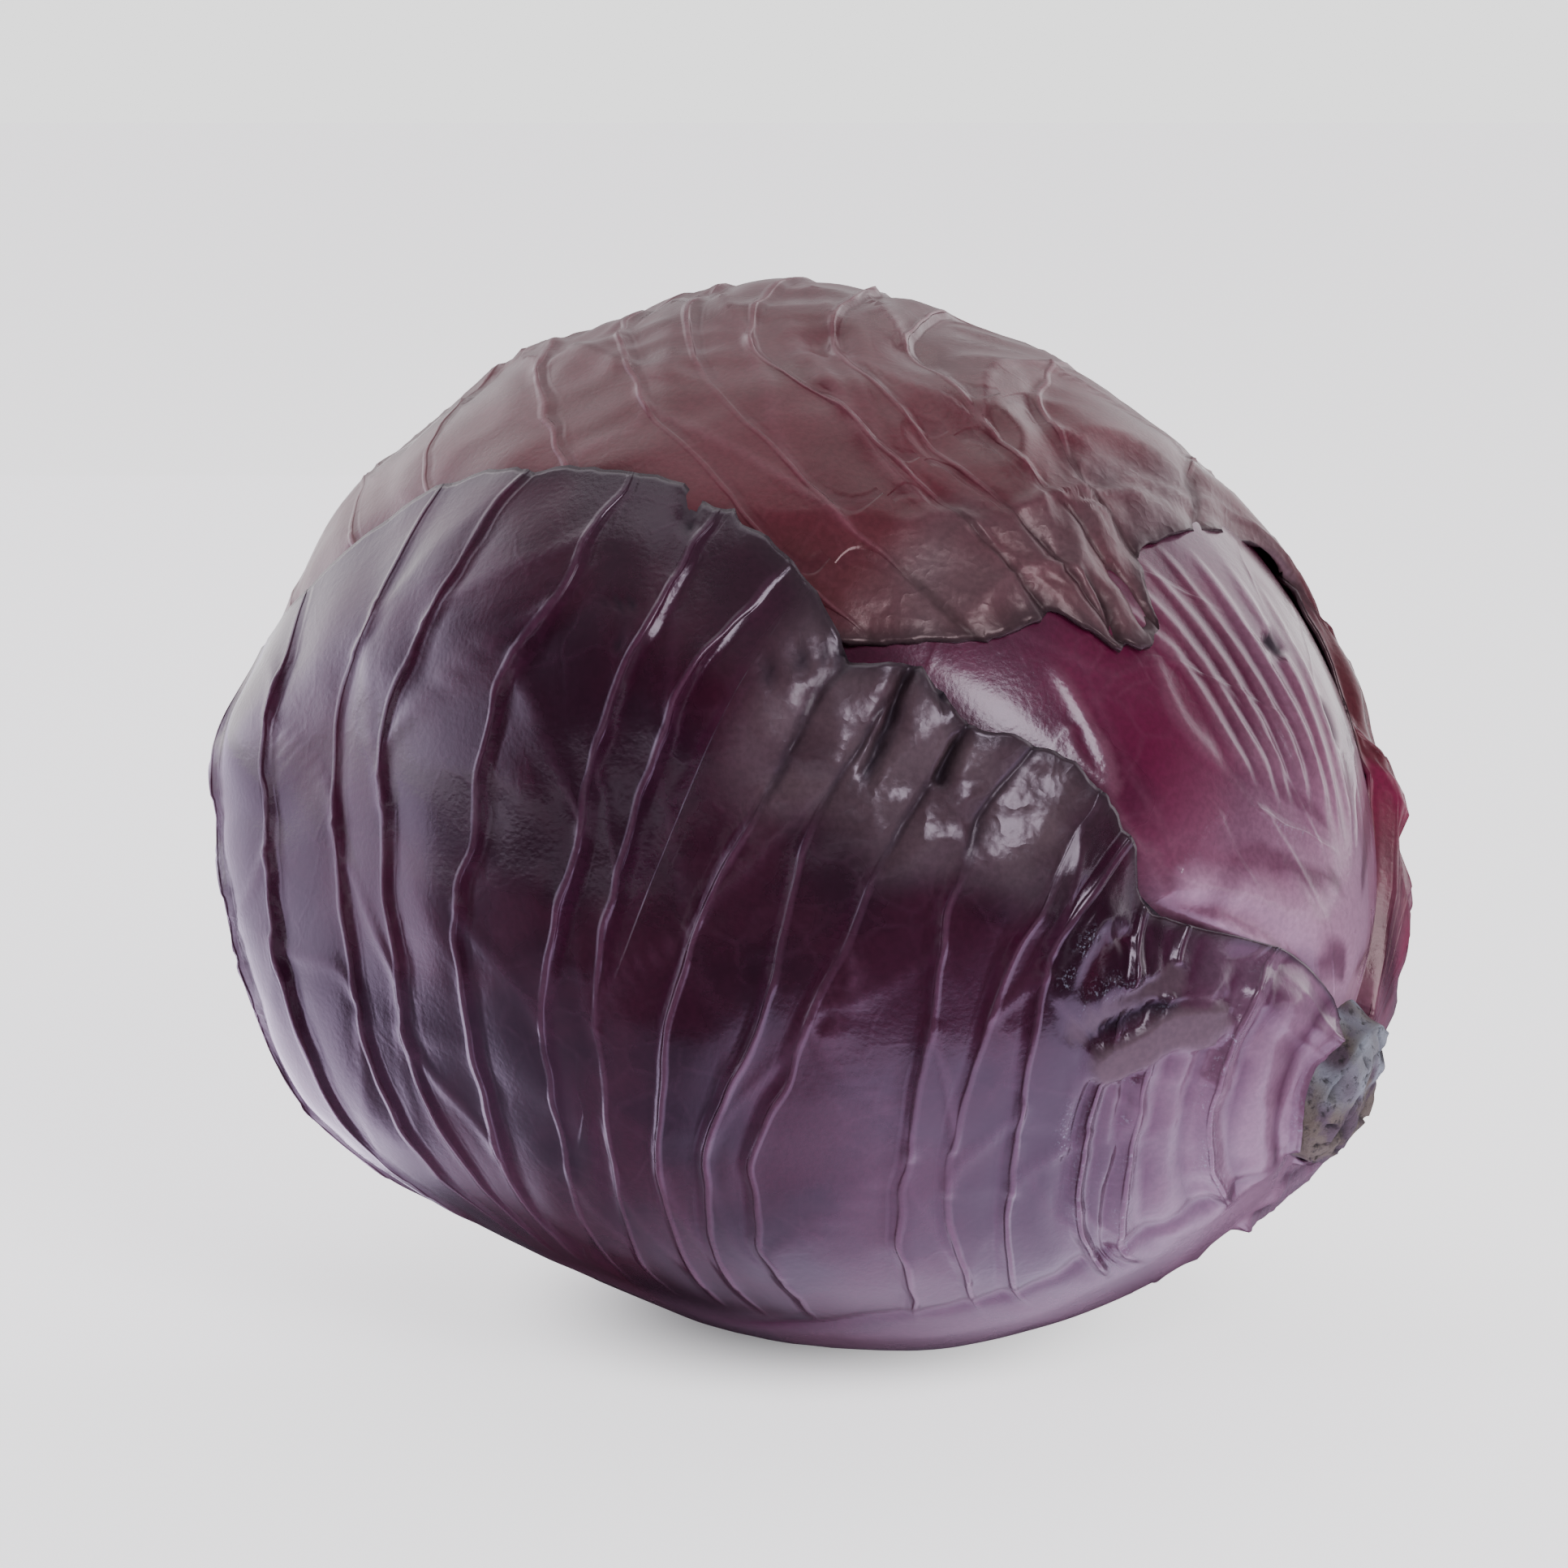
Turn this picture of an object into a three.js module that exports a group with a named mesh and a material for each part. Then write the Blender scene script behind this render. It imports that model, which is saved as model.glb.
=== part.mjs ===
// A head of red cabbage lying on its side, in millimetres, +Z up, standing on z = 0.
// The stem points to the right, forwards and a little down. A dense inner head carries four
// wrapper leaves and the cut stump. Every leaf is a closed blade that starts at the stump and is
// draped over whatever lies under it.
import * as THREE from 'three';
import { mergeVertices } from 'three/addons/utils/BufferGeometryUtils.js';

// Driving dimensions
const HEAD_HALF_LENGTH = 81; // inner head, from its middle to the stump end
const HEAD_HALF_WIDTH = 69.5; // inner head, across the stem
const HEAD_CENTRE = new THREE.Vector3(0.5, -2.7, 74); // middle of the head above the surface
const STEM_YAW = -27; // degrees, where the stem points, seen from above
const STEM_PITCH = -20; // degrees, below the horizontal
const BLADE = 1.0; // thickness of a leaf's blade
const RIB_RISE = 0.7; // how far a side rib stands proud of the blade, at its root
const MIDRIB_RISE = 1.6; // the same for the broad midrib, at the stump
const LAYER_GAP = 0.8; // air between a leaf and what it lies on
const HEAD_GAP = 0.4; // and a little more round the inner head
const OVERLAP = 5; // a leaf holds what lies on it up this far past its own margin
const SLOPE = 26; // and lets it down again over this length
const CURL = 2.2; // how far a free margin lifts off
const BASE = 8.5; // degrees from the stem's axis where the leaves begin
const STUMP_RADIUS = 11.2;
const STUMP_LENGTH = 8.5;
const SCALLOP = 0.3; // between two ribs a margin is set back by this share of a row

// Bulges of the inner head: direction (yaw, pitch in degrees), height in mm, width in degrees
const BULGES = [
  { yaw: -166, pitch: -25, height: 8.5, width: 20 },
  { yaw: -173, pitch: 1, height: 5, width: 15 },
  { yaw: 90, pitch: 85, height: 1.5, width: 14 },
  { yaw: -15, pitch: -27, height: 2.5, width: 18 },
];

const COLOURS = { head: 0x5c2c4e, leaf: 0x6b3a5c, stump: 0x9a8f86 };

const radians = THREE.MathUtils.degToRad;
const smooth = (x) => THREE.MathUtils.smoothstep(x, 0, 1);

function heading(yaw, pitch) {
  const level = Math.cos(radians(pitch));
  return new THREE.Vector3(
    level * Math.cos(radians(yaw)), level * Math.sin(radians(yaw)), Math.sin(radians(pitch)));
}

// The head's own directions: turn is degrees about the stem from its underside, reach is degrees
// from the stump. The far end of the head, opposite the stump, is at reach 180.
const STEM = heading(STEM_YAW, STEM_PITCH);
const DOWN = new THREE.Vector3(0, 0, -1);
const UNDERSIDE = DOWN.clone().addScaledVector(STEM, -DOWN.dot(STEM)).normalize();
const BACK = new THREE.Vector3().crossVectors(STEM, UNDERSIDE);

function place([turn, reach]) {
  const across = Math.sin(radians(reach));
  return new THREE.Vector3()
    .addScaledVector(STEM, Math.cos(radians(reach)))
    .addScaledVector(UNDERSIDE, across * Math.cos(radians(turn)))
    .addScaledVector(BACK, across * Math.sin(radians(turn)));
}

function headRadius(direction) {
  const along = direction.dot(STEM);
  const ellipse = (along / HEAD_HALF_LENGTH) ** 2 + (1 - along ** 2) / HEAD_HALF_WIDTH ** 2;
  let radius = 1 / Math.sqrt(ellipse);
  for (const { yaw, pitch, height, width } of BULGES) {
    const nearness = direction.dot(heading(yaw, pitch)) - 1;
    radius += height * Math.exp(nearness / (1 - Math.cos(radians(width))));
  }
  return radius;
}

// Leaves. A rib is a list of places [turn, reach] from the midrib out to the margin. The ribs of
// one half are given from the stump to the tip. The other half mirrors them about the midrib, with
// its margin farWidth degrees from it.
const FRONT_LEAF = {
  name: 'leaf_front',
  midrib: -28,
  rows: 14,
  farWidth: 100,
  centre: [-28, 85],
  ribs: [
    [[-28, BASE], [-75, BASE], [-118, BASE], [-150, 9.5], [-168, 10]],
    [[-28, 16], [-75, 18], [-98, 20], [-122, 21], [-144, 20]],
    [[-28, 23], [-52, 27], [-81, 27], [-105, 30], [-129, 31]],
    [[-28, 28], [-64, 31], [-97, 33], [-118, 35], [-127, 36]],
    [[-28, 34], [-46, 37], [-66, 38], [-83, 39], [-111, 43], [-134, 41]],
    [[-28, 41], [-69, 44], [-104, 46], [-136, 47]],
    [[-28, 47], [-45, 47], [-70, 48], [-96, 51], [-119, 56], [-135, 55]],
    [[-28, 54], [-50, 60], [-69, 64], [-93, 62], [-110, 62], [-132, 62]],
    [[-28, 60], [-50, 66], [-70, 69], [-92, 67], [-112, 70], [-134, 69]],
    [[-28, 65], [-50, 70], [-67, 74], [-86, 76], [-112, 76], [-131, 75]],
    [[-28, 70], [-50, 76], [-75, 82], [-94, 87], [-119, 88], [-137, 86]],
    [[-28, 75], [-50, 82], [-70, 88], [-99, 93], [-121, 95], [-140, 95]],
    [[-28, 79], [-48, 89], [-68, 98], [-96, 106], [-124, 107], [-140, 108]],
    [[-28, 83], [-47, 94], [-63, 105], [-80, 114], [-94, 120], [-120, 121], [-137, 119]],
    [[-28, 87], [-46, 99], [-60, 110], [-76, 121], [-95, 129], [-115, 131], [-133, 132]],
    [[-28, 92], [-42, 105], [-54, 117], [-66, 128], [-78, 136], [-95, 141], [-110, 148]],
    [[-28, 99], [-37, 114], [-46, 127], [-57, 138], [-72, 147], [-92, 155]],
    [[-28, 111], [-35, 129], [-43, 144], [-54, 154], [-70, 161]],
    [[-28, 130], [-34, 145], [-44, 157], [-56, 165]],
    [[-28, 164], [-31, 168], [-36, 171]],
  ],
};
const TOP_LEAF = {
  name: 'leaf_top',
  midrib: 120,
  rows: 16,
  farRows: 9,
  farWidth: 60,
  centre: [160, 95],
  ribs: [
    [[120, BASE], [132, BASE], [143, 10], [153, 14]],
    [[120, 20], [132, 27], [142, 33], [150, 38]],
    [[120, 31], [134, 41], [146, 48], [156, 55]],
    [[120, 42], [138, 58], [156, 67], [170, 66], [179, 58]],
    [[120, 55], [140, 74], [160, 84], [178, 83], [190, 70], [192, 57]],
    [[120, 66], [142, 88], [164, 99], [184, 95], [194, 80], [198, 64], [200, 50]],
    [[120, 75], [144, 97], [168, 107], [190, 102], [200, 86], [204, 68], [207, 51]],
    [[120, 83], [146, 106], [172, 116], [196, 109], [204, 92], [208, 76], [211, 60]],
    [[120, 91], [148, 114], [176, 123], [202, 113], [213, 95], [218, 79], [220, 65]],
    [[120, 99], [152, 122], [182, 130], [207, 118], [219, 100], [225, 84], [227, 72]],
    [[120, 108], [158, 131], [190, 136], [216, 124], [230, 108], [236, 92]],
    [[120, 122], [162, 145], [204, 144], [232, 131], [246, 112]],
    [[120, 140], [170, 160], [226, 152], [250, 134]],
    [[120, 162], [190, 172], [250, 160], [266, 147]],
    [[120, 186], [282, 168], [280, 157]],
  ],
};
const SIDE_LEAF = {
  name: 'leaf_side',
  midrib: 180,
  rows: 12,
  farWidth: 50,
  centre: [180, 70],
  ribs: [
    [[180, BASE], [195, BASE], [212, BASE], [232, 10]],
    [[180, 21], [195, 28], [212, 34], [238, 34]],
    [[180, 32], [193, 42], [206, 51], [236, 52]],
    [[180, 44], [192, 56], [206, 66], [236, 70]],
    [[180, 58], [192, 72], [208, 82], [234, 88]],
    [[180, 74], [193, 88], [208, 98], [230, 104]],
    [[180, 92], [193, 106], [207, 115], [224, 119]],
    [[180, 112], [188, 122], [200, 129], [212, 132]],
  ],
};
const UNDER_LEAF = {
  name: 'leaf_under',
  midrib: 62,
  rows: 11,
  farWidth: 100,
  centre: [62, 85],
  ribs: [
    [[62, BASE], [25, BASE], [-15, BASE], [-40, 10]],
    [[62, 24], [30, 28], [-8, 31], [-42, 32]],
    [[62, 37], [32, 43], [-6, 48], [-44, 50]],
    [[62, 51], [34, 58], [-2, 66], [-44, 69]],
    [[62, 66], [36, 75], [2, 84], [-42, 88]],
    [[62, 81], [38, 92], [6, 102], [-40, 107]],
    [[62, 96], [38, 109], [0, 119], [-43, 123]],
    [[62, 113], [42, 126], [4, 138], [-45, 138]],
    [[62, 132], [46, 146], [6, 156], [-66, 147]],
    [[62, 151], [40, 161], [-20, 165], [-84, 153]],
    [[62, 172], [0, 173], [-72, 166], [-104, 154]],
    [[62, 192], [-118, 167], [-122, 154]],
  ],
};
const LEAVES = [UNDER_LEAF, SIDE_LEAF, TOP_LEAF, FRONT_LEAF]; // from the inside out

const COLUMNS_PER_RIB = 2;
const MIDRIB_SHARE = 0.16; // share of a rib's length that the broad midrib covers

// A leaf's places as unit directions, grid[column][row]: columns run from the stump to the tip,
// rows from the far margin across the midrib to the near margin.
function spreadLeaf(leaf) {
  const mirrored = leaf.ribs.map((rib) => {
    const width = Math.max(...rib.map(([turn]) => Math.abs(turn - leaf.midrib)));
    const scale = leaf.farWidth / width;
    return rib.map(([turn, reach]) => [leaf.midrib + (leaf.midrib - turn) * scale, reach]);
  });
  const shares = (count) => Array.from({ length: count }, (_, i) => (i + 1) / count);
  const near = [0, ...bunchAtMidrib(shares(leaf.rows))];
  const far = bunchAtMidrib(shares(leaf.farRows ?? leaf.rows)).reverse();
  const row = (ribs, share) => new THREE.CatmullRomCurve3(
    ribs.map((rib) => rib.getPointAt(share).normalize()), false, 'catmullrom');
  const curves = (ribs) => ribs.map(
    (rib) => new THREE.CatmullRomCurve3(rib.map(place), false, 'centripetal'));
  const nearCurves = curves(leaf.ribs);
  const farCurves = curves(mirrored);
  const rows = [...far.map((share) => ({ share: -share, line: row(farCurves, share) })),
    ...near.map((share) => ({ share, line: row(nearCurves, share) }))];
  const columns = (leaf.ribs.length - 1) * COLUMNS_PER_RIB;
  const grid = [];
  for (let column = 0; column <= columns; column++) {
    const places = rows.map(({ line }) => line.getPoint(column / columns).normalize());
    if (column % COLUMNS_PER_RIB > 0) {
      const last = places.length - 1;
      places[0].lerp(places[1], SCALLOP).normalize();
      places[last].lerp(places[last - 1], SCALLOP).normalize();
    }
    grid.push(places);
  }
  return { ...leaf, grid, shares: rows.map(({ share }) => share) };
}

// The first row or two stand at the midrib's edge, and the rest are even.
function bunchAtMidrib(shares) {
  return shares.map((share, index) => (
    index === 0 ? MIDRIB_SHARE / 2
      : index === 1 ? MIDRIB_SHARE
        : MIDRIB_SHARE + (1 - MIDRIB_SHARE) * (index - 1) / (shares.length - 2)));
}

function outline(grid) {
  const last = grid.length - 1;
  const end = grid[0].length - 1;
  return [...grid[0], ...grid.slice(1, last).map((column) => column[end]),
    ...[...grid[last]].reverse(), ...grid.slice(1, last).reverse().map((column) => column[0])];
}

// A flat map about the leaf's own middle, in which its outline is a plain polygon.
function flatMap(centre) {
  const middle = place(centre);
  const east = new THREE.Vector3().crossVectors(STEM, middle).normalize();
  const north = new THREE.Vector3().crossVectors(middle, east);
  return (direction) => {
    const scale = 1 / (1.0001 + direction.dot(middle));
    return [direction.dot(east) * scale, direction.dot(north) * scale];
  };
}

function isInside([x, y], polygon) {
  let inside = false;
  for (let i = 0, j = polygon.length - 1; i < polygon.length; j = i++) {
    const [ax, ay] = polygon[i];
    const [bx, by] = polygon[j];
    if ((ay > y) !== (by > y) && x < ax + (bx - ax) * (y - ay) / (by - ay)) inside = !inside;
  }
  return inside;
}

const leaves = LEAVES.map(spreadLeaf).map((leaf) => {
  const edge = outline(leaf.grid);
  const map = flatMap(leaf.centre);
  return { ...leaf, edge, map, polygon: edge.map(map) };
});

// How fully a leaf holds up what lies over it: 1 on it and a little past it, 0 well clear of it.
function support(leaf, direction) {
  if (isInside(leaf.map(direction), leaf.polygon)) return 1;
  let nearest = Infinity;
  const closest = new THREE.Vector3();
  const segment = new THREE.Line3();
  for (let i = 0; i < leaf.edge.length; i++) {
    segment.set(leaf.edge[i], leaf.edge[(i + 1) % leaf.edge.length]);
    segment.closestPointToPoint(direction, true, closest);
    nearest = Math.min(nearest, closest.distanceTo(direction));
  }
  return 1 - smooth((nearest * HEAD_HALF_WIDTH - OVERLAP) / SLOPE);
}

// Height above the inner head of each leaf's underside, and how fully later leaves cover it.
function stack(direction) {
  const supports = leaves.map((leaf) => support(leaf, direction));
  const heights = [];
  leaves.forEach((_, index) => {
    let below = 0;
    for (let lower = 0; lower < index; lower++) {
      below = Math.max(below, (heights[lower] + BLADE + RIB_RISE) * supports[lower]);
    }
    heights.push(below + LAYER_GAP);
  });
  return { supports, heights };
}

// Where the head meets the surface, all its layers are pressed up together by this much.
function surfaceDistance(direction) {
  return direction.z < -0.1 ? HEAD_CENTRE.z / -direction.z : Infinity;
}
function pressed(direction, heights) {
  const outside = headRadius(direction) + heights.at(-1) + BLADE;
  return Math.max(0, outside - surfaceDistance(direction));
}

// Relief of a blade: the broad midrib, the side ribs, and the lift of a free margin.
function relief(leaf, column, row, free) {
  const share = Math.abs(leaf.shares[row]);
  const along = column / (leaf.grid.length - 1);
  const midrib = MIDRIB_RISE * (1 - along) * (1 - smooth(share / MIDRIB_SHARE));
  const onRib = column % COLUMNS_PER_RIB === 0;
  const rooted = smooth(share / MIDRIB_SHARE) * (1 - 0.6 * share);
  return Math.min(RIB_RISE, midrib * RIB_RISE / MIDRIB_RISE + (onRib ? RIB_RISE * rooted : 0))
    + free * Math.max(0, midrib - RIB_RISE * (1 - along));
}

function marginLift(leaf, column, row, free) {
  const share = Math.abs(leaf.shares[row]);
  const wave = 0.55 + 0.45 * Math.sin(column * 1.9 + (leaf.shares[row] > 0 ? 0 : 2));
  return free * CURL * wave * smooth((share - 0.86) / 0.14);
}

function makeLeaf(leaf, index) {
  const columns = leaf.grid.length;
  const rows = leaf.grid[0].length;
  const inner = [];
  const outer = [];
  for (let column = 0; column < columns; column++) {
    for (let row = 0; row < rows; row++) {
      const direction = leaf.grid[column][row];
      const { supports, heights } = stack(direction);
      const free = supports.slice(index + 1).reduce((left, held) => left * (1 - held), 1);
      const radius = headRadius(direction) + heights[index];
      const push = pressed(direction, heights);
      const lift = push > 0 ? 0 : marginLift(leaf, column, row, free);
      const under = radius + lift - push;
      const over = Math.min(
        under + BLADE + relief(leaf, column, row, free), surfaceDistance(direction));
      inner.push(direction.clone().multiplyScalar(under));
      outer.push(direction.clone().multiplyScalar(over));
    }
  }
  return closedBlade(inner, outer, columns, rows);
}

function closedBlade(inner, outer, columns, rows) {
  const at = (column, row) => column * rows + row;
  const count = columns * rows;
  const triangles = [];
  const quad = (a, b, c, d) => triangles.push(a, b, c, a, c, d);
  for (let column = 0; column < columns - 1; column++) {
    for (let row = 0; row < rows - 1; row++) {
      const corners = [at(column, row), at(column + 1, row), at(column + 1, row + 1),
        at(column, row + 1)];
      quad(...corners);
      const [a, b, c, d] = corners.map((corner) => corner + count);
      triangles.push(a, c, b, a, d, c);
    }
  }
  const rim = [];
  for (let row = 0; row < rows; row++) rim.push(at(0, row));
  for (let column = 1; column < columns; column++) rim.push(at(column, rows - 1));
  for (let row = rows - 2; row >= 0; row--) rim.push(at(columns - 1, row));
  for (let column = columns - 2; column > 0; column--) rim.push(at(column, 0));
  rim.forEach((from, index) => {
    const to = rim[(index + 1) % rim.length];
    quad(from, to, to + count, from + count);
  });
  const geometry = new THREE.BufferGeometry().setFromPoints([...inner, ...outer]);
  geometry.setIndex(triangles);
  return facingOut(geometry);
}

// A leaf's grid may run either way round, so its faces are turned if it encloses less than nothing.
function facingOut(geometry) {
  const points = geometry.getAttribute('position');
  const index = geometry.getIndex();
  const [a, b, c] = [new THREE.Vector3(), new THREE.Vector3(), new THREE.Vector3()];
  let volume = 0;
  for (let i = 0; i < index.count; i += 3) {
    a.fromBufferAttribute(points, index.getX(i));
    b.fromBufferAttribute(points, index.getX(i + 1));
    c.fromBufferAttribute(points, index.getX(i + 2));
    volume += a.dot(b.cross(c)) / 6;
  }
  if (volume < 0) geometry.setIndex([...index.array].reverse());
  return geometry;
}

const HEAD_DETAIL = 7; // each edge of the icosahedron is cut into eight

function makeHead() {
  const geometry = new THREE.IcosahedronGeometry(1, HEAD_DETAIL);
  geometry.deleteAttribute('normal');
  geometry.deleteAttribute('uv');
  const ball = mergeVertices(geometry, 1e-5);
  const points = ball.getAttribute('position');
  const direction = new THREE.Vector3();
  for (let i = 0; i < points.count; i++) {
    direction.fromBufferAttribute(points, i).normalize();
    const push = pressed(direction, stack(direction).heights);
    const radius = headRadius(direction) - HEAD_GAP - push;
    direction.multiplyScalar(radius);
    points.setXYZ(i, direction.x, direction.y, direction.z);
  }
  return ball;
}

// How far out along the stem the inner head comes inside the ring of leaf bases
function headEnd() {
  let end = 0;
  for (let turn = 0; turn < 360; turn += 30) {
    for (let reach = 0; reach <= BASE; reach += BASE / 4) {
      const direction = place([turn, reach]);
      end = Math.max(end, headRadius(direction) * Math.cos(radians(reach)));
    }
  }
  return end;
}

// The stump is a short cut plug, a little lopsided, that rises out of the ring of leaf bases.
function makeStump() {
  const foot = headEnd() + LAYER_GAP;
  const sides = 20;
  const profile = [[0, 0], [STUMP_RADIUS - 1, 0], [STUMP_RADIUS, 1.5],
    [STUMP_RADIUS, STUMP_LENGTH - 2], [STUMP_RADIUS - 2, STUMP_LENGTH], [0, STUMP_LENGTH - 0.8]];
  const lathe = new THREE.LatheGeometry(
    profile.map(([radius, height]) => new THREE.Vector2(radius, height)), sides);
  lathe.deleteAttribute('normal');
  lathe.deleteAttribute('uv');
  const plug = mergeVertices(lathe, 1e-4);
  const points = plug.getAttribute('position');
  for (let i = 0; i < points.count; i++) {
    const angle = Math.atan2(points.getZ(i), points.getX(i));
    const squeeze = 1 - 0.05 * (1 + Math.cos(3 * angle + 1)) / 2;
    points.setXYZ(i, points.getX(i) * squeeze, points.getY(i), points.getZ(i) * squeeze);
  }
  const axis = new THREE.Quaternion().setFromUnitVectors(new THREE.Vector3(0, 1, 0), STEM);
  plug.applyQuaternion(axis);
  plug.translate(...STEM.clone().multiplyScalar(foot).toArray());
  return facingOut(dropSlivers(plug));
}

// Triangles that lost a corner when their points were merged are left out.
function dropSlivers(geometry) {
  const index = geometry.getIndex().array;
  const kept = [];
  for (let i = 0; i < index.length; i += 3) {
    const [a, b, c] = index.slice(i, i + 3);
    if (a !== b && b !== c && c !== a) kept.push(a, b, c);
  }
  geometry.setIndex(kept);
  return geometry;
}

function piece(name, geometry, color, roughness) {
  const mesh = new THREE.Mesh(
    geometry, new THREE.MeshStandardMaterial({ color, roughness, metalness: 0 }));
  mesh.name = name;
  return mesh;
}

const cabbage = new THREE.Group();
cabbage.position.copy(HEAD_CENTRE);
cabbage.add(piece('inner_head', makeHead(), COLOURS.head, 0.45));
leaves.forEach((leaf, index) => {
  cabbage.add(piece(leaf.name, makeLeaf(leaf, index), COLOURS.leaf, 0.4));
});
cabbage.add(piece('stump', makeStump(), COLOURS.stump, 0.8));

export default cabbage;
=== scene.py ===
"""A head of red cabbage lying on its side, dressed over its frame.

Four wrapper leaves lie over a dense inner head, with the cut stump at one end. Each leaf is a fine
sheet spread along its own side ribs, draped over what lies under it, then given its ribs, panels,
pleats and torn margin by formula.
"""

import logging
import math
from dataclasses import dataclass, field
from enum import Enum
from typing import Sequence

import bmesh
import bpy
import numpy as np
from mathutils import Matrix, Vector


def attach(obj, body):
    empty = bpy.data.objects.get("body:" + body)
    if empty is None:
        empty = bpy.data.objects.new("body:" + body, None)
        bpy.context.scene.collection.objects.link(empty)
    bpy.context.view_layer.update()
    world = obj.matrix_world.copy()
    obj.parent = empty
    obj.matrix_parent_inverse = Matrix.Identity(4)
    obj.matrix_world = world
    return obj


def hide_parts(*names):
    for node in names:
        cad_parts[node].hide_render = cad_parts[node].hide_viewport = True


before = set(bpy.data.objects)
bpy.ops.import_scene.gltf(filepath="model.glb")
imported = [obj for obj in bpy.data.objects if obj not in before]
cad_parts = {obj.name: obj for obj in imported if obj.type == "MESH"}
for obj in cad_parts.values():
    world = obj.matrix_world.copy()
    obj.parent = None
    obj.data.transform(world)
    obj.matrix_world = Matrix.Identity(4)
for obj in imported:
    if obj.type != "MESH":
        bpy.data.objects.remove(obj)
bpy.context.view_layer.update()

log = logging.getLogger("red_cabbage")

MM = 0.001  # the construction below is worked out in millimetres

# Driving sizes of the head, in millimetres and degrees, as in the frame
HEAD_HALF_LENGTH = 81.0
HEAD_HALF_WIDTH = 69.5
HEAD_CENTRE = np.array([0.5, -2.7, 74.0])
STEM_YAW = -27.0
STEM_PITCH = -20.0
BLADE = 1.0  # room that the frame gives a leaf's blade
RIB_RISE = 0.7
LAYER_GAP = 0.8
OVERLAP = 5.0
SLOPE = 26.0
BASE = 8.5  # degrees from the stem's axis where the leaves begin
TUCKED_BASE = 7.2  # and where their bases end against the stump
STUMP_RADIUS = 11.2
STUMP_LENGTH = 8.5
SKIN = 0.7  # thickness that a leaf's blade really has
MIDRIB_SHARE = 0.16
STEEP_SIDE = 1.9  # width of a rib's steep side
RIB_SWAY = 0.1  # how far a rib strays, as a share of the gap to the next
WAVE_SHARE = 0.02  # shares of the half leaf that the margin's waves, tears and teeth take off
TEAR_SHARE = 0.014
TOOTH_SHARE = 0.004
STALK_REACH = 18.0  # where the leaves' pleated bases begin to fade, and over how much
STALK_FADE = 24.0
TURNOVER_REACH = 76.0  # where the ribs' steep sides change over
TURNOVER = 14.0
MIDRIB_RISE = 1.5
MARGIN_SHARE = 0.84  # where the free margin begins to lie down
CURL_RISE = 1.6
CARD_EDGE = -0.16  # where the reflected card ends, towards the camera
CROWDING = 0.62  # how closely a leaf's fine columns crowd about its ribs

HIDDEN_BY_FLAPS = ("ribbed", "furrow_shade", "painted_glint")  # marks of the leaf that a flap lies over

Array = np.ndarray
Place = tuple[float, float]
Rib = Sequence[Place]
Socket = bpy.types.NodeSocket
Material = bpy.types.Material
Piece = bpy.types.Object


def smooth(value: Array) -> Array:
    """Ease a value from 0 to 1 between 0 and 1."""
    clipped = np.clip(value, 0.0, 1.0)
    return clipped * clipped * (3.0 - 2.0 * clipped)


def heading(yaw: float, pitch: float) -> Array:
    """Unit direction from yaw and pitch in degrees.

    Args:
        yaw: turn about the upright axis, from +X towards +Y.
        pitch: climb above the level.

    Returns:
        The direction.
    """
    level = math.cos(math.radians(pitch))
    return np.array([
        level * math.cos(math.radians(yaw)),
        level * math.sin(math.radians(yaw)),
        math.sin(math.radians(pitch)),
    ])


def unit(vectors: Array) -> Array:
    """Scale vectors to length 1."""
    return vectors / np.linalg.norm(vectors, axis=-1, keepdims=True)


STEM = heading(STEM_YAW, STEM_PITCH)
DOWN = np.array([0.0, 0.0, -1.0])
UNDERSIDE = unit(DOWN - DOWN.dot(STEM) * STEM)
BACK = np.cross(STEM, UNDERSIDE)


def place(turn: Array, reach: Array) -> Array:
    """Directions from turns about the stem and reaches from the stump.

    Args:
        turn: degrees about the stem, from the underside.
        reach: degrees from the stump end of the stem.

    Returns:
        Unit directions from the middle of the head.
    """
    turn = np.radians(np.asarray(turn, dtype=float))[..., None]
    reach = np.radians(np.asarray(reach, dtype=float))[..., None]
    ring = np.cos(turn) * UNDERSIDE + np.sin(turn) * BACK
    return np.cos(reach) * STEM + np.sin(reach) * ring


def wander(points: Array, size: float, seed: int) -> Array:
    """Smooth seeded noise between -1 and 1.

    Args:
        points: places, in the same units as size.
        size: width of one swell.
        seed: which noise.

    Returns:
        One value for each place.
    """
    scaled = points / size + 1000.0
    cell = np.floor(scaled).astype(np.int64)
    part = scaled - cell
    part = part * part * (3.0 - 2.0 * part)
    total = np.zeros(points.shape[:-1])
    for corner in range(8):
        step = np.array([corner & 1, corner >> 1 & 1, corner >> 2 & 1])
        spot = cell + step
        mixed = spot[..., 0] * 73856093 ^ spot[..., 1] * 19349663 ^ spot[..., 2] * 83492791
        mixed = (mixed ^ seed * 2654435761) & 0xFFFFFFFF
        mixed = (mixed ^ mixed >> 15) * 2246822519 & 0xFFFFFFFF
        mixed = (mixed ^ mixed >> 13) * 3266489917 & 0xFFFFFFFF
        value = ((mixed ^ mixed >> 16) & 0xFFFF) / 32767.5 - 1.0
        weight = np.prod(np.where(step == 1, part, 1.0 - part), axis=-1)
        total += value * weight
    return total


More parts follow.
